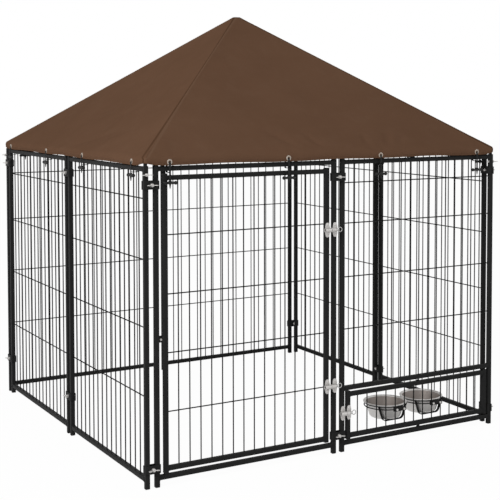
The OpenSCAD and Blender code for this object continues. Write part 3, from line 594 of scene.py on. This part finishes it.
X_AXIS, Y_AXIS, Z_AXIS = np.eye(3)
TUBE_SECTION = box_outline(TUBE, TUBE, TUBE_CORNER, 4)


def post(skin, x, low, high, k):
    """A square tube with rounded edges, standing."""
    skin.grid(on_wall(carried([(x, 0, low), (x, 0, high)], TUBE_SECTION, X_AXIS), k), capped=True)


def rail(skin, ends, low, k):
    """A lying square tube between two posts, with a rippled weld bead round each end."""
    middle = low + FACE
    start, end = ends[0] + FACE, ends[1] - FACE
    path = [(x, 0, middle) for x in (start - RAIL_SINK, end + RAIL_SINK)]
    skin.grid(on_wall(carried(path, TUBE_SECTION, Y_AXIS), k), capped=True)
    loop = box_outline(TUBE, TUBE, TUBE_CORNER, 6)
    ripple = 1 + WELD_RIPPLE_SHARE * np.sin(np.linspace(0, 2 * np.pi * WELD_RIPPLES, len(loop)))
    for x in (start, end):
        path = np.stack([np.full(len(loop), x), loop[:, 0], middle + loop[:, 1]], -1)
        skin.grid(on_wall(carried(path, ring(WELD_R, 6), X_AXIS, ripple), k))


def wire(length):
    """A wire along Z: a round section that swells into its welds at both ends."""
    path = [(0, 0, z) for z in (0, 0.8, 2.4, length - 2.4, length - 0.8, length)]
    return carried(path, ring(WIRE_R, 10), X_AXIS, (1.7, 1.3, 1, 1, 1.3, 1.7))


def upright_wires(skin, ends, low, high, bays, end_bay, k):
    """Wires a step apart from post to post, but for the two end bays, which are wider."""
    x = ends[0] + (ends[1] - ends[0]) * (end_bay + np.arange(bays - 1)) / (bays - 2 + 2 * end_bay)
    places = np.stack([x, 0 * x, np.full(len(x), low)], -1)
    skin.grid(on_wall(wire(high - low) + places[:, None, None], k), capped=True)
    return x


def wire_field(ends, low, high, bays, end_bay, rows, k):
    """Upright wires, crosswise wires behind them, and a small weld nugget at each crossing."""
    skin = Skin()
    x = upright_wires(skin, ends, low, high, bays, end_bay, k)
    heights = low + np.array(rows) * (high - low)
    across = turned(wire(ends[1] - ends[0] - TUBE), "Y", 90)
    places = np.stack([np.full(len(heights), ends[0] + FACE), np.full(len(heights), WIRE_BEHIND), heights], -1)
    skin.grid(on_wall(across + places[:, None, None], k), capped=True)
    crossings = np.stack(np.meshgrid(x, WIRE_BEHIND / 2, heights, indexing="ij"), -1).reshape(-1, 3)
    skin.grid(on_wall(ball(NUGGET_RADII) + crossings[:, None, None], k))
    return skin


def tube_frame(ends, rails, k, uprights=(FOOT_CAP, POST_TOP)):
    """Two standing tubes, and the lying ones between them."""
    skin = Skin()
    for x in ends:
        post(skin, x, *uprights, k)
    for low in rails:
        rail(skin, ends, low, k)
    return skin


def make_walls():
    """Eight panels of tube and wire, then the door's and the feeder's own frames."""
    plain = {"back_left": (PANEL_B, BACK), "back_right": (PANEL_A, BACK), "left_front": (PANEL_B, LEFT),
             "left_rear": (PANEL_A, LEFT), "right_front": (PANEL_A, RIGHT), "right_rear": (PANEL_B, RIGHT)}
    for name, (ends, k) in plain.items():
        tube_frame(ends, (BOTTOM_RAIL, TOP_RAIL), k).piece(f"{name}_tubes", POWDER_COAT, "run", f"{name}_frame")
        wire_field(ends, BOTTOM_RAIL + TUBE, TOP_RAIL, PANEL_BAYS, PANEL_END_BAY, PANEL_ROWS, k).piece(
            f"{name}_wires", WIRE_COAT, "run", f"{name}_mesh")
    tube_frame(PANEL_A, (BOTTOM_RAIL, TOP_RAIL), FRONT).piece(
        "door_panel_tubes", POWDER_COAT, "run", "door_panel_frame")
    tube_frame(PANEL_B, (BOTTOM_RAIL, FEEDER_TOP_RAIL, TOP_RAIL), FRONT).piece(
        "feeder_panel_tubes", POWDER_COAT, "run", "feeder_panel_frame")
    wire_field(PANEL_B, FEEDER_TOP_RAIL + TUBE, TOP_RAIL, PANEL_BAYS, PANEL_END_BAY, OVER_FEEDER_ROWS, FRONT).piece(
        "feeder_panel_wires", WIRE_COAT, "run", "feeder_panel_mesh")
    tube_frame(DOOR, DOOR_RAILS, FRONT, DOOR_STILE).piece("door_tubes", POWDER_COAT, "door", "door_frame")
    wire_field(DOOR, DOOR_RAILS[0] + TUBE, DOOR_RAILS[1], DOOR_BAYS, DOOR_END_BAY, DOOR_ROWS, FRONT).piece(
        "door_wires", WIRE_COAT, "door", "door_mesh")
    tube_frame(FEEDER, FEEDER_RAILS, FRONT, FEEDER_STILE).piece("feeder_tubes", POWDER_COAT, "feeder", "feeder_frame")
    wires = Skin()
    upright_wires(wires, FEEDER, FEEDER_RAILS[0] + TUBE, FEEDER_RAILS[1], DOOR_BAYS, 1.0, FRONT)
    wires.piece("feeder_upright_wires", WIRE_COAT, "feeder", "feeder_wires")


def make_caps():
    """Plastic plugs under the posts and on all but the corner posts, with eased rims."""
    feet, tops = Skin(), Skin()
    foot = raised(box_outline(TUBE, TUBE, CAP_CORNER, 4), 0, FOOT_CAP, 0.7)
    top = raised(box_outline(TUBE, TUBE, CAP_CORNER, 4), POST_TOP, POST_TOP + TOP_CAP, 1.2)
    for k in WALLS:
        for x in PANEL_A + PANEL_B:
            feet.grid(on_wall(moved(foot, x), k), capped=True)
        for x in PANEL_A + PANEL_B[:1]:
            tops.grid(on_wall(moved(top, x), k), capped=True)
    feet.piece("foot_caps", PLASTIC, "run", "post_foot_caps")
    tops.piece("top_caps", PLASTIC, "run", "post_top_caps")


def clamp_channel():
    """A clamp plate seen from above: a flat web with a lip turned in at each end, raised along Z."""
    outer, inner = CLAMP_HALF, CLAMP_HALF - CLAMP_LIP_T
    front, back, tip = -FACE - CLAMP_T, -FACE, CLAMP_LIP - FACE
    outline = rounded([(-outer, front), (outer, front), (outer, tip), (inner, tip), (inner, back),
                       (-inner, back), (-inner, tip), (-outer, tip)],
                      (2.2, 2.2, 0.6, 0.6, 0.5, 0.5, 0.6, 0.6))
    return raised(outline, -CLAMP_H / 2, CLAMP_H / 2, 0.6)


def wing_nut(bolt_r):
    """A tapered hub along -Y with two ears: each ear is a rounded outline raised to the wing's
    thickness, and the second is the first turned half round."""
    hub_r = bolt_r + 3
    hub = lathe([(bolt_r, 0), (hub_r, 0), (hub_r, 1.2), (hub_r - 0.7, WING_HUB_H - 0.8), (hub_r - 1.5, WING_HUB_H),
                 (bolt_r, WING_HUB_H), (bolt_r, 0)], 20)
    ear = rounded([(0, -1), (hub_r - 0.5, -1), (14, -4.6), (18.4, -7), (18.4, -12.6), (14.6, -15), (9, -13),
                   (hub_r - 1, -8), (0, -8)], (0.3, 2, 3, 2.2, 2.6, 2.2, 3, 2, 0.3), 4)
    ear = raised(ear, -WING_T / 2, WING_T / 2, 0.8)
    return turned(hub, "X", 90), ear, turned(ear, "Y", 180)


def add_wing_nut(skin, bolt_r, place, k):
    """Sets a wing nut on the bolt at a place of a wall."""
    hub, *ears = wing_nut(bolt_r)
    skin.grid(on_wall(moved(hub, *place), k))
    for ear in ears:
        skin.grid(on_wall(moved(ear, *place), k), capped=True)


def make_clamps():
    """Clamp channels in pairs either side of every joint, with a wing nut on each bolt."""
    upper, lower, nuts, corner_nuts = Skin(), Skin(), Skin(), Skin()
    channel = clamp_channel()
    flipped = channel * np.array([1, -1, 1])
    for k in WALLS:
        for x in JOINT_PLACES:
            for skin, z in ((upper, UPPER_CLAMP_Z), (lower, LOWER_CLAMP_Z[k])):
                for plate in (channel, flipped):
                    skin.grid(on_wall(moved(plate, x, 0, z), k), capped=True)
                add_wing_nut(nuts, CLAMP_BOLT_R, (x, -FACE - CLAMP_T, z), k)
        add_wing_nut(corner_nuts, CORNER_BOLT_R, (-HALF, -FACE, CORNER_BOLT_Z), k)
    upper.piece("upper_clamps", POWDER_COAT, "run", "upper_clamp_plates")
    lower.piece("lower_clamps", POWDER_COAT, "run", "lower_clamp_plates")
    nuts.piece("clamp_nuts", ZINC, "run", "clamp_wing_nuts")
    corner_nuts.piece("corner_nuts", ZINC, "run", "roof_corner_wing_nuts")


def latch_plate():
    """A plate with round ends and a wider waist, raised to its thickness, and two domed rivets."""
    end_r = LATCH_W / 2 - 1.5
    lift, waist = LATCH_H / 2 - end_r, BARREL_R + 3
    right, left = [(LATCH_W / 2, -waist), (LATCH_W / 2, waist)], [(-LATCH_W / 2, waist), (-LATCH_W / 2, -waist)]
    outline = np.concatenate([right, arc((0, lift), end_r, 0, 180, 10), left, arc((0, -lift), end_r, 180, 360, 10)])
    plate = outwards(raised(rounded(outline, 0.45, 2), 0, LATCH_T, 0.5))
    a = np.radians(np.linspace(0, 90, 5))
    dome = outwards(lathe(np.stack([RIVET_R * np.cos(a), LATCH_T + RIVET_DOME * np.sin(a)], -1), 16))
    return plate, [moved(dome, z=s * (LATCH_H / 2 - LATCH_W / 2 + 0.5)) for s in (-1, 1)]


def barrel(left, right, bore):
    """A tube along X with eased rims: a closed outline of wall and bore, turned about the bolt's axis."""
    wall = rounded([(bore, left), (BARREL_R, left), (BARREL_R, right), (bore, right)], 0.7, 3)
    return moved(turned(lathe(wall, 40), "Y", 90), y=-LATCH_AXIS)


def latch_half(x, z, left, right, bore):
    """The body or the keeper of a latch: plate, rivets and barrel on a tube's front face."""
    skin = Skin()
    plate, rivets = latch_plate()
    skin.grid(on_wall(moved(plate, x, -FACE, z), FRONT), capped=True)
    for part in (*rivets, barrel(left, right, bore)):
        skin.grid(on_wall(moved(part, x, -FACE, z), FRONT))
    return skin


def latch_bolt(x, z, left):
    """A round bar with an eased tip, and a pull ring carried round its own circle."""
    skin = Skin()
    end = RING_X - RING_R
    bar = rounded([(0, left), (BOLT_R, left), (BOLT_R, end), (0, end)], (0.1, 0.8, 0.8, 0.1), 3, closed=False)
    bar = moved(turned(lathe(bar, 28), "Y", 90), y=-LATCH_AXIS)
    circle = ring(RING_R, 40)
    path = np.stack([RING_X + circle[:, 0], np.full(len(circle), -LATCH_AXIS), circle[:, 1]], -1)
    for part in (bar, carried(path, ring(RING_WIRE_R, 12), Y_AXIS)):
        skin.grid(on_wall(moved(part, x, -FACE, z), FRONT))
    return skin


def make_latches():
    """Two latches on the door and one on the feeder, with their bolts drawn back."""
    for name, z, x, catch_x, left, body, catch_body in (
            ("upper", UPPER_LATCH_Z, PANEL_A[1], DOOR[1], DOOR_BARREL_LEFT, "run", "door"),
            ("lower", LOWER_LATCH_Z, PANEL_A[1], DOOR[1], DOOR_BARREL_LEFT, "run", "door"),
            ("feeder", FEEDER_LATCH_Z, FEEDER[0], PANEL_B[0], FEEDER_BARREL_LEFT, "feeder", "run")):
        latch_half(x, z, left, BARREL_END, BODY_BORE_R).piece(
            f"{name}_latch_barrel", ZINC, body, f"{name}_latch_body")
        latch_half(catch_x, z, KEEPER_LEFT, LATCH_W / 2, KEEPER_BORE_R).piece(
            f"{name}_latch_catch", ZINC, catch_body, f"{name}_latch_keeper")
        latch_bolt(x, z, left + BOLT_INSET).piece(
            f"{name}_latch_bar", BRIGHT_STEEL, f"{name}_bolt", f"{name}_latch_bolt")


def bowl_profile():
    """A bowl's section from the axis out under the bottom, up the wall, round the rolled bead and
    back down inside: straight runs joined by curves, all in (radius, height)."""
    t = BOWL_WALL
    outside = rounded([(0, 0), (BOWL_BOTTOM_R + 8.6, 0), (BOWL_TOP_R, BOWL_RIM_Z), (RIM_R - 1.5, BOWL_RIM_Z)],
                      (0.1, 11, 2, 0.1), 8, closed=False)
    bead = arc((RIM_R, BOWL_RIM_Z), BEAD_R, 214, 500, 18)
    inside = rounded([(RIM_R - 1.5, BOWL_RIM_Z + t), (BOWL_TOP_R - t, BOWL_RIM_Z + t), (BOWL_BOTTOM_R + 7.4, t),
                      (0, t)], (0.1, 3.4, 10, 0.1), 8, closed=False)
    return np.concatenate([outside[:-1], bead, inside[1:]])


def at_bowl(points, side):
    """Sets a bowl's own frame behind the feeder's wires."""
    return on_wall(moved(points, FEEDER_MID + side * BOWL_X, BOWL_REACH), FRONT)


def strap_path():
    """The strap's middle line: down one side at a lean, round a corner, under the bowl and up again."""
    reach = math.sqrt(HOOP_R ** 2 - STRAP_BACK ** 2)
    low, corner = BOWL_Z - 0.3, reach - STRAP_INSET - STRAP_CORNER_R
    bend = arc((corner, low + STRAP_CORNER_R), STRAP_CORNER_R + STRAP_T / 2, -STRAP_LEAN, -90, 10)
    half = np.concatenate([[(reach + STRAP_T / 2, HOOP_Z + HOOP_WIRE_R / 2)], bend])
    whole = np.concatenate([half, half[::-1] * np.array([-1, 1])])
    return np.stack([whole[:, 0], np.full(len(whole), -STRAP_BACK), whole[:, 1]], -1)


def make_bowls():
    """The two bowls, and for each a holder of two hoops, a strap, a plate and a clamp bar."""
    bars = Skin()
    plate_w, plate_h, plate_t = HOLDER_PLATE
    front = WIRE_R - BOWL_REACH
    plate = outwards(raised(box_outline(plate_w, plate_h, 2), -plate_t, 0, 0.5))
    bar = outwards(raised(box_outline(plate_w, plate_h - 2, 2), 0, plate_t, 0.5))
    stem = outwards(raised(box_outline(STEM_W, STEM_H, 1), front, -HOOP_R + 1.0, 0.5))
    circle = ring(HOOP_R, 96)
    for side, name in ((-1, "left"), (1, "right")):
        bowl, holder = Skin(), Skin()
        bowl.grid(at_bowl(moved(lathe(bowl_profile(), 128), z=BOWL_Z), side))
        bowl.piece(f"{name}_dish", STAINLESS, f"{name}_bowl", f"{name}_bowl")
        for z in (HOOP_Z, HOOP_Z - HOOP_STEP):
            path = np.stack([circle[:, 0], circle[:, 1], np.full(len(circle), z)], -1)
            holder.grid(at_bowl(carried(path, ring(HOOP_WIRE_R, 12), Z_AXIS), side))
        holder.grid(at_bowl(carried(strap_path(), box_outline(STRAP_W, STRAP_T, 0.7), Y_AXIS), side), capped=True)
        holder.grid(at_bowl(moved(plate, 0, front, HOLDER_Z), side), capped=True)
        holder.grid(at_bowl(moved(stem * np.array([1, -1, 1]), 0, 0, HOLDER_Z), side), capped=True)
        holder.piece(f"{name}_holder", POWDER_COAT, "feeder", f"{name}_bowl_holder")
        bars.grid(at_bowl(moved(bar, 0, -BOWL_REACH - WIRE_R, HOLDER_Z), side), capped=True)
    bars.piece("clamp_bars", POWDER_COAT, "feeder", "holder_clamp_bars")


# Long soft folds of each gore: from (x, way down) to (x, way down), with height and half width
FOLDS = {
    FRONT: ((-215, 0.83, -130, 0.94, -5.2, 10), (-66, 0.86, -30, 0.96, -4.4, 9), (176, 0.86, 152, 0.95, -4.4, 9),
            (286, 0.85, 232, 0.96, -5.0, 10), (352, 0.86, 280, 0.96, -4.4, 9), (-430, 0.8, -60, 0.34, 1.2, 40)),
    RIGHT: ((-520, 0.88, -90, 0.40, 2.0, 25), (560, 0.9, 80, 0.42, 1.7, 24), (186, 0.95, 70, 0.6, -1.6, 22),
            (-186, 0.95, -30, 0.6, 1.4, 20)),
    BACK: ((-540, 0.88, -70, 0.36, -1.9, 25), (500, 0.9, 110, 0.42, 2.0, 26), (-186, 0.94, -90, 0.6, 1.5, 20),
           (186, 0.95, 90, 0.58, 1.6, 22)),
    LEFT: ((34, 0.967, 340, 0.78, -3.4, 13), (165, 0.93, 420, 0.78, -3.4, 13), (20, 0.80, 230, 0.56, -3.0, 20),
           (-40, 0.80, 90, 0.42, 1.4, 26), (-470, 0.92, -160, 0.6, 1.6, 26)),
}


def eave_lift(x):
    """Rise of the hem along a wall: a squared sine from each tie to the next."""
    return sum(np.sin(np.pi * np.clip((x - a) / (b - a), 0, 1)) ** 2 for a, b in zip(TIE_PLACES, TIE_PLACES[1:]))


def gore_relief(x, down, from_hip, k):
    """Height of the cloth over its plain gore: long folds with a bell-shaped section, puckers that fan
    out from each tie and end short of its eyelet, a slow billow, and the hip's seam, a flat ridge on the
    gore that starts there beside a groove on the one that ends, which stops short of the eave. All of it
    dies out at the peak."""
    way = down * SLOPE_L
    relief = BILLOW * np.sin(x / BILLOW_ACROSS + 1.7 * k) * np.sin(way / BILLOW_DOWN + k)
    for x0, down0, x1, down1, height, width in FOLDS[k]:
        line = np.array([x1 - x0, (down1 - down0) * SLOPE_L])
        px, py = x - x0, way - down0 * SLOPE_L
        share = np.clip((px * line[0] + py * line[1]) / (line @ line), 0, 1)
        off = np.hypot(px - share * line[0], py - share * line[1])
        relief = relief + height * np.exp(-(off / width) ** 2) * np.sin(np.pi * np.clip(share * 0.9 + 0.08, 0, 1))
    for tie in TIE_PLACES:
        aside, above = x - tie, SLOPE_L - way + HEM_DEPTH / 2
        far = np.hypot(aside, above)
        fan = np.cos(PUCKER_RAYS * np.arctan2(aside, above) + 0.4 * k)
        relief = (relief + PUCKER * np.exp(-far / PUCKER_REACH) * fan) * (1 - np.exp(-(far / PUCKER_CLEAR) ** 2))
    calm = 1 - np.exp(-(from_hip / HIP_CALM) ** 2)
    groove = SEAM_GROOVE * np.clip(33 - 33 * down, 0, 1)
    seam = np.where(x < 0, SEAM_RIDGE, -groove) * np.sin(np.pi * np.clip(from_hip / SEAM_W, 0, 1))
    return (relief * calm + seam) * np.clip(way / PEAK_CALM, 0, 1)


def gore(t, down, k):
    """A point of one gore: t runs along the eave from -1 to 1, and down from 0 at the peak to 1 at the
    eave. The plain gore is a plane less a sag that is widest halfway, plus the hem's rise between ties.
    Near a hip, plan points follow a quadratic curve round the corner, tightest just above the eave."""
    half = PEAK_HALF + (EAVE_HALF - PEAK_HALF) * down
    from_hip = half * (1 - np.abs(t))
    bend = np.minimum(HIP_BEND * np.interp(down, (0.91, 0.988, 1.0), (1.0, 0.4, 2.1)), 0.6 * half)
    round_share = np.clip((1 - from_hip / bend) / 2, 0, 0.5)
    x = np.sign(t) * np.where(from_hip < bend, half - bend * (1 - round_share) ** 2, half * np.abs(t))
    sag = CANOPY_SAG * (1 - t ** 2) * 4 * down * (1 - down)
    relief = gore_relief(t * half, down, from_hip, k)
    z = PEAK_Z - (PEAK_Z - EAVE_Z) * down - sag + HEM_RISE * eave_lift(t * EAVE_HALF) * down ** 6
    return np.stack([x, -half + bend * round_share ** 2 - SLOPE_SIN * relief, z + SLOPE_COS * relief], -1)


def hem(t, drop, k):
    """A point of the hem, dropped below the eave: it hangs straight, ripples between the ties, and draws
    in and up towards the corner posts."""
    edge = gore(t, np.ones_like(t), k)
    x = t * EAVE_HALF
    calm = 1 - np.exp(-((EAVE_HALF - np.abs(x)) / HIP_CALM) ** 2)
    ripple = np.sin(x / RIPPLE_LONG + 2 * k) + 0.7 * np.sin(x / RIPPLE_SHORT + 1 + k)
    wave = RIPPLE * calm * (0.15 + eave_lift(x)) * ripple * drop / HEM_DEPTH
    near_hip = np.exp(-((EAVE_HALF - np.abs(x)) / 36) ** 2)
    draw = CORNER_DRAW * near_hip * (drop / HEM_DEPTH) ** 2
    return edge + np.stack([-np.sign(t) * draw, draw - wave, -drop * (1 - CORNER_RISE * near_hip)], -1)


def gore_grid(k):
    """One side of the canopy from the middle of the peak to the hem's edge. The eave itself is a
    quadratic curve from the slope over the edge to the hem, longer at the corners and shorter at the
    ties. Columns run backwards, so that faces point out. The UV is flat: along the eave and down the side."""
    near = np.array([0, 2.5, 5, 7.5, 10, 14, 20, 28]) / EAVE_HALF
    t = np.concatenate([-1 + near, np.linspace(-1 + 38 / EAVE_HALF, 1 - 38 / EAVE_HALF, 128), 1 - near[::-1]])
    cap = np.linspace(0, 1, 5)[:-1, None, None] * gore(t, 0 * t, k)[None] * np.array([1, 1, 0])
    cap = moved(cap, z=PEAK_Z)
    near_tie = np.exp(-((t[:, None] * EAVE_HALF - np.array(TIE_PLACES)) / 18) ** 2).max(axis=1)
    near_hip = np.exp(-(EAVE_HALF * (1 - np.abs(t)) / 40) ** 2)
    bend = EAVE_BEND + (TIE_BEND - EAVE_BEND) * near_tie + (CORNER_BEND - EAVE_BEND) * near_hip
    slope = gore(t[None], np.sin(np.linspace(0, np.pi / 2, 44))[:, None] * (1 - bend / SLOPE_L), k)
    s = np.linspace(0, 1, 6)[1:, None, None]
    eave = (1 - s) ** 2 * slope[-1] + 2 * s * (1 - s) * gore(t, 1 + 0 * t, k) + s ** 2 * hem(t, bend, k)
    skirt = hem(t[None], bend + (HEM_DEPTH - bend) * np.linspace(0, 1, 6)[1:, None], k)
    points = np.concatenate([cap, slope, eave, skirt])
    way = walked(points[None], 1)[0][:, len(t) // 2]
    uv = np.stack([points[..., 0], np.broadcast_to(way[:, None], points.shape[:2])], -1)
    return quarter(points, k)[:, ::-1], uv[:, ::-1]


def stitches(starts, ends, up):
    """Short threads between pairs of points: a six-sided section that closes to a point at both ends."""
    along = ends - starts
    along /= np.linalg.norm(along, axis=-1, keepdims=True)
    across = np.cross(along, up)
    across /= np.linalg.norm(across, axis=-1, keepdims=True)
    profile = ring(STITCH_R, 6)
    share, size = np.array([0, 0.2, 0.8, 1.0])[:, None, None], np.array([0, 1, 1, 0])[:, None, None]
    middle = starts[:, None, None] + share * (ends - starts)[:, None, None]
    return middle + size * (profile[:, :1] * across[:, None, None] + profile[:, 1:] * up[:, None, None] * 0.5)


def hip_row(side, k):
    """A row of stitches on one gore, beside the hip at one of its sides, a little over the cloth."""
    up = np.array([0, -SLOPE_SIN, SLOPE_COS])
    way = np.arange(*HIP_ROW_SPAN, STITCH_PITCH / HIP_L)
    down = np.stack([way, way + STITCH_L / HIP_L])
    half = PEAK_HALF + (EAVE_HALF - PEAK_HALF) * down
    starts, ends = gore(side * (1 - HIP_ROW_INSET / half), down, k) + HIP_ROW_LIFT * up
    return stitches(starts, ends, np.broadcast_to(up, starts.shape))


def hem_row(height, k):
    """A row of stitches at a height above the hem's edge, from corner to corner but for the eyelets."""
    x = np.arange(-EAVE_HALF + HEM_ROW_ENDS, EAVE_HALF - HEM_ROW_ENDS, STITCH_PITCH)
    x = x[np.min(np.abs(x[:, None] - np.array(TIE_PLACES)), axis=1) > EYELET_R + EYELET_CLEAR]
    drop = np.full(len(x), HEM_DEPTH - height)
    starts, ends = (moved(hem(place / EAVE_HALF, drop, k), y=-HEM_ROW_LIFT) for place in (x, x + STITCH_L))
    return stitches(starts, ends, np.broadcast_to(-Y_AXIS, starts.shape))


def eyelet():
    """A pressed ring: a rolled rim that falls away outwards and into the hole, turned about its axis."""
    outer, inner, back = EYELET_OUTER_ROLL, EYELET_INNER_ROLL, -FABRIC_T - EYELET_T
    rim = np.concatenate([arc((EYELET_R - outer, 0), outer, 0, 90, 5) * (1, EYELET_T / outer),
                          arc((EYELET_HOLE_R + inner, 0), inner, 90, 180, 4) * (1, EYELET_T / inner),
                          [(EYELET_HOLE_R, back), (EYELET_R, back), (EYELET_R, 0)]])
    return outwards(lathe(rim, 32))


def make_canopy():
    """The cloth as one sheet of four sewn gores, its stitching and its eyelets."""
    cloth, thread, eyelets = Skin(), Skin(), Skin()
    for k in WALLS:
        points, uv = gore_grid(k)
        cloth.grid(points, uv=uv)
        for row in [hip_row(side, k) for side in (-1, 1)] + [hem_row(height, k) for height in HEM_ROWS]:
            thread.grid(quarter(row, k))
        for tie in TIE_PLACES:
            eyelets.grid(quarter(moved(eyelet(), tie, -EAVE_HALF, TIE_Z), k))
    canopy = cloth.piece("canopy_cloth", POLYESTER, "run", "canopy", closed=False, sharp=60)
    solid = canopy.modifiers.new("cloth thickness", "SOLIDIFY")
    solid.thickness, solid.offset = FABRIC_T * MM, -1
    seams = thread.piece("canopy_stitching", THREAD, "run")
    rings = eyelets.piece("canopy_eyelets", NICKEL, "run", "canopy_grommets")


def elastic_band(toggle_z):
    """A flat band round the eyelet's edge and the top rail, and its tail down to the toggle."""
    outline = rounded([(TIE_FRONT, TIE_UNDER), (TIE_FRONT, TIE_Z), (TIE_BACK, TIE_Z), (TIE_BACK, TIE_UNDER)],
                      TIE_CORNER_R, 5)
    section = box_outline(TIE_W, TIE_T, 0.7)
    loop = np.stack([0 * outline[:, 0], -outline[:, 0], outline[:, 1]], -1)
    tail = [(0, -TIE_FRONT, z) for z in (TIE_UNDER + 6, toggle_z + TOGGLE_BOSS[2] - 2)]
    return carried(loop, section, X_AXIS), carried(tail, section, X_AXIS)


def toggle_parts():
    """A bar that swells into a ball at each end, a boss above it and a blunt-pointed tip below."""
    end = np.radians(np.linspace(-90, 48, 12))
    knob = np.stack([KNOB_R * np.cos(end), -TOGGLE_ARM + KNOB_R * np.sin(end)], -1)
    waist = np.stack([TOGGLE_R - 0.5 * np.cos(np.linspace(-1.4, 1.4, 7)), np.linspace(-12, 12, 7)], -1)
    bar = turned(lathe(np.concatenate([knob, waist, knob[::-1] * (1, -1)]), 24), "Y", 90)
    boss = raised(box_outline(TOGGLE_BOSS[0], TOGGLE_BOSS[1], 1.6), 0, TOGGLE_BOSS[2], 1.0)
    tip = lathe(np.concatenate([arc((0, TOGGLE_TIP_R - TOGGLE_TIP), TOGGLE_TIP_R, -90, 0, 4),
                                [(TOGGLE_ROOT_R, -3), (TOGGLE_ROOT_R + 0.6, 0)]]), 20)
    return bar, boss, tip


def make_ties():
    """An elastic and a toggle at every eyelet."""
    bands, toggles = Skin(), Skin()
    bar, boss, tip = toggle_parts()
    for k in WALLS:
        loop, tail = elastic_band(TOGGLE_Z[k])
        for tie in TIE_PLACES:
            bands.grid(quarter(moved(loop, tie), k))
            bands.grid(quarter(moved(tail, tie), k), capped=True)
            for part, capped in ((bar, False), (boss, True), (tip, False)):
                toggles.grid(quarter(moved(part, tie, -TIE_FRONT, TOGGLE_Z[k]), k), capped=capped)
    bands.piece("tie_elastics", ELASTIC, "run", "canopy_tie_elastics")
    toggles.piece("tie_toggles", PLASTIC, "run", "canopy_tie_toggles")


def finish_frame():
    """Finishes for the pieces whose CAD shape stays."""
    finishes = {POWDER_COAT: [*POLES, "roof_corner_fittings", "roof_hub", "door_pivot_studs", "feeder_pivot_studs"],
                ZINC: ["clamp_bolts", "roof_corner_bolts", "holder_bolts"],
                PLASTIC: ["door_pivot_bushes", "feeder_pivot_bushes"]}
    for finish, names in finishes.items():
        for name in names:
            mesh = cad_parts[name].data
            mesh.materials.clear()
            mesh.materials.append(finish.material)


def make_studio():
    """A white floor and world, a broad key light from the left and a weak fill from the right."""
    reach, aim_z = 20, 0.7
    mesh = bpy.data.meshes.new("floor")
    mesh.from_pydata([(-reach, -reach, 0), (reach, -reach, 0), (reach, reach, 0), (-reach, reach, 0)], [],
                     [(0, 1, 2, 3)])
    floor = linked("floor", mesh)
    mesh.materials.append(bpy.data.materials.new("white paper"))
    paper = Nodes(mesh.materials[0])
    paper.show("Material Output", 0.97, paper.add("ShaderNodeEmission"),
               paper.add("ShaderNodeBsdfDiffuse", None, {"Color": grey(0.86)}))

    bpy.context.scene.world = bpy.data.worlds.new("white studio")
    sky = Nodes(bpy.context.scene.world)
    sky.show("World Output", 1.0, sky.add("ShaderNodeBackground", None, {"Color": grey(1.0)}),
             sky.add("ShaderNodeBackground", None, {"Color": grey(1.0), "Strength": 0.46}))

    for name, place, size, power in (("key", (-4.5, -2.3, 4.3), 3.0, 255), ("fill", (4.2, -3.0, 2.6), 3.0, 46)):
        lamp = bpy.data.lights.new(name, "AREA")
        lamp.size, lamp.energy = size, power
        light = linked(name, lamp)
        light.location = place
        x, y, z = -place[0], -place[1], aim_z - place[2]
        light.rotation_euler = (math.atan2(math.hypot(x, y), -z), 0, math.atan2(-x, y))


def make_camera():
    """The photograph's view: a long lens at the front left, a little above the walls' tops."""
    lens = bpy.data.cameras.new("camera")
    lens.lens, lens.sensor_width = 81.87, 36.0
    lens.shift_x, lens.shift_y = -0.0817, -0.2
    camera = linked("camera", lens)
    camera.location = (-2.1101, -3.9110, 1.2245)
    camera.rotation_euler = (math.pi / 2 - 0.0478, 0, -0.5425)
    bpy.context.scene.camera = camera


make_camera()
make_studio()
make_walls()
make_caps()
make_clamps()
make_latches()
make_bowls()
make_canopy()
make_ties()
finish_frame()
bpy.context.scene.view_settings.view_transform = "Standard"
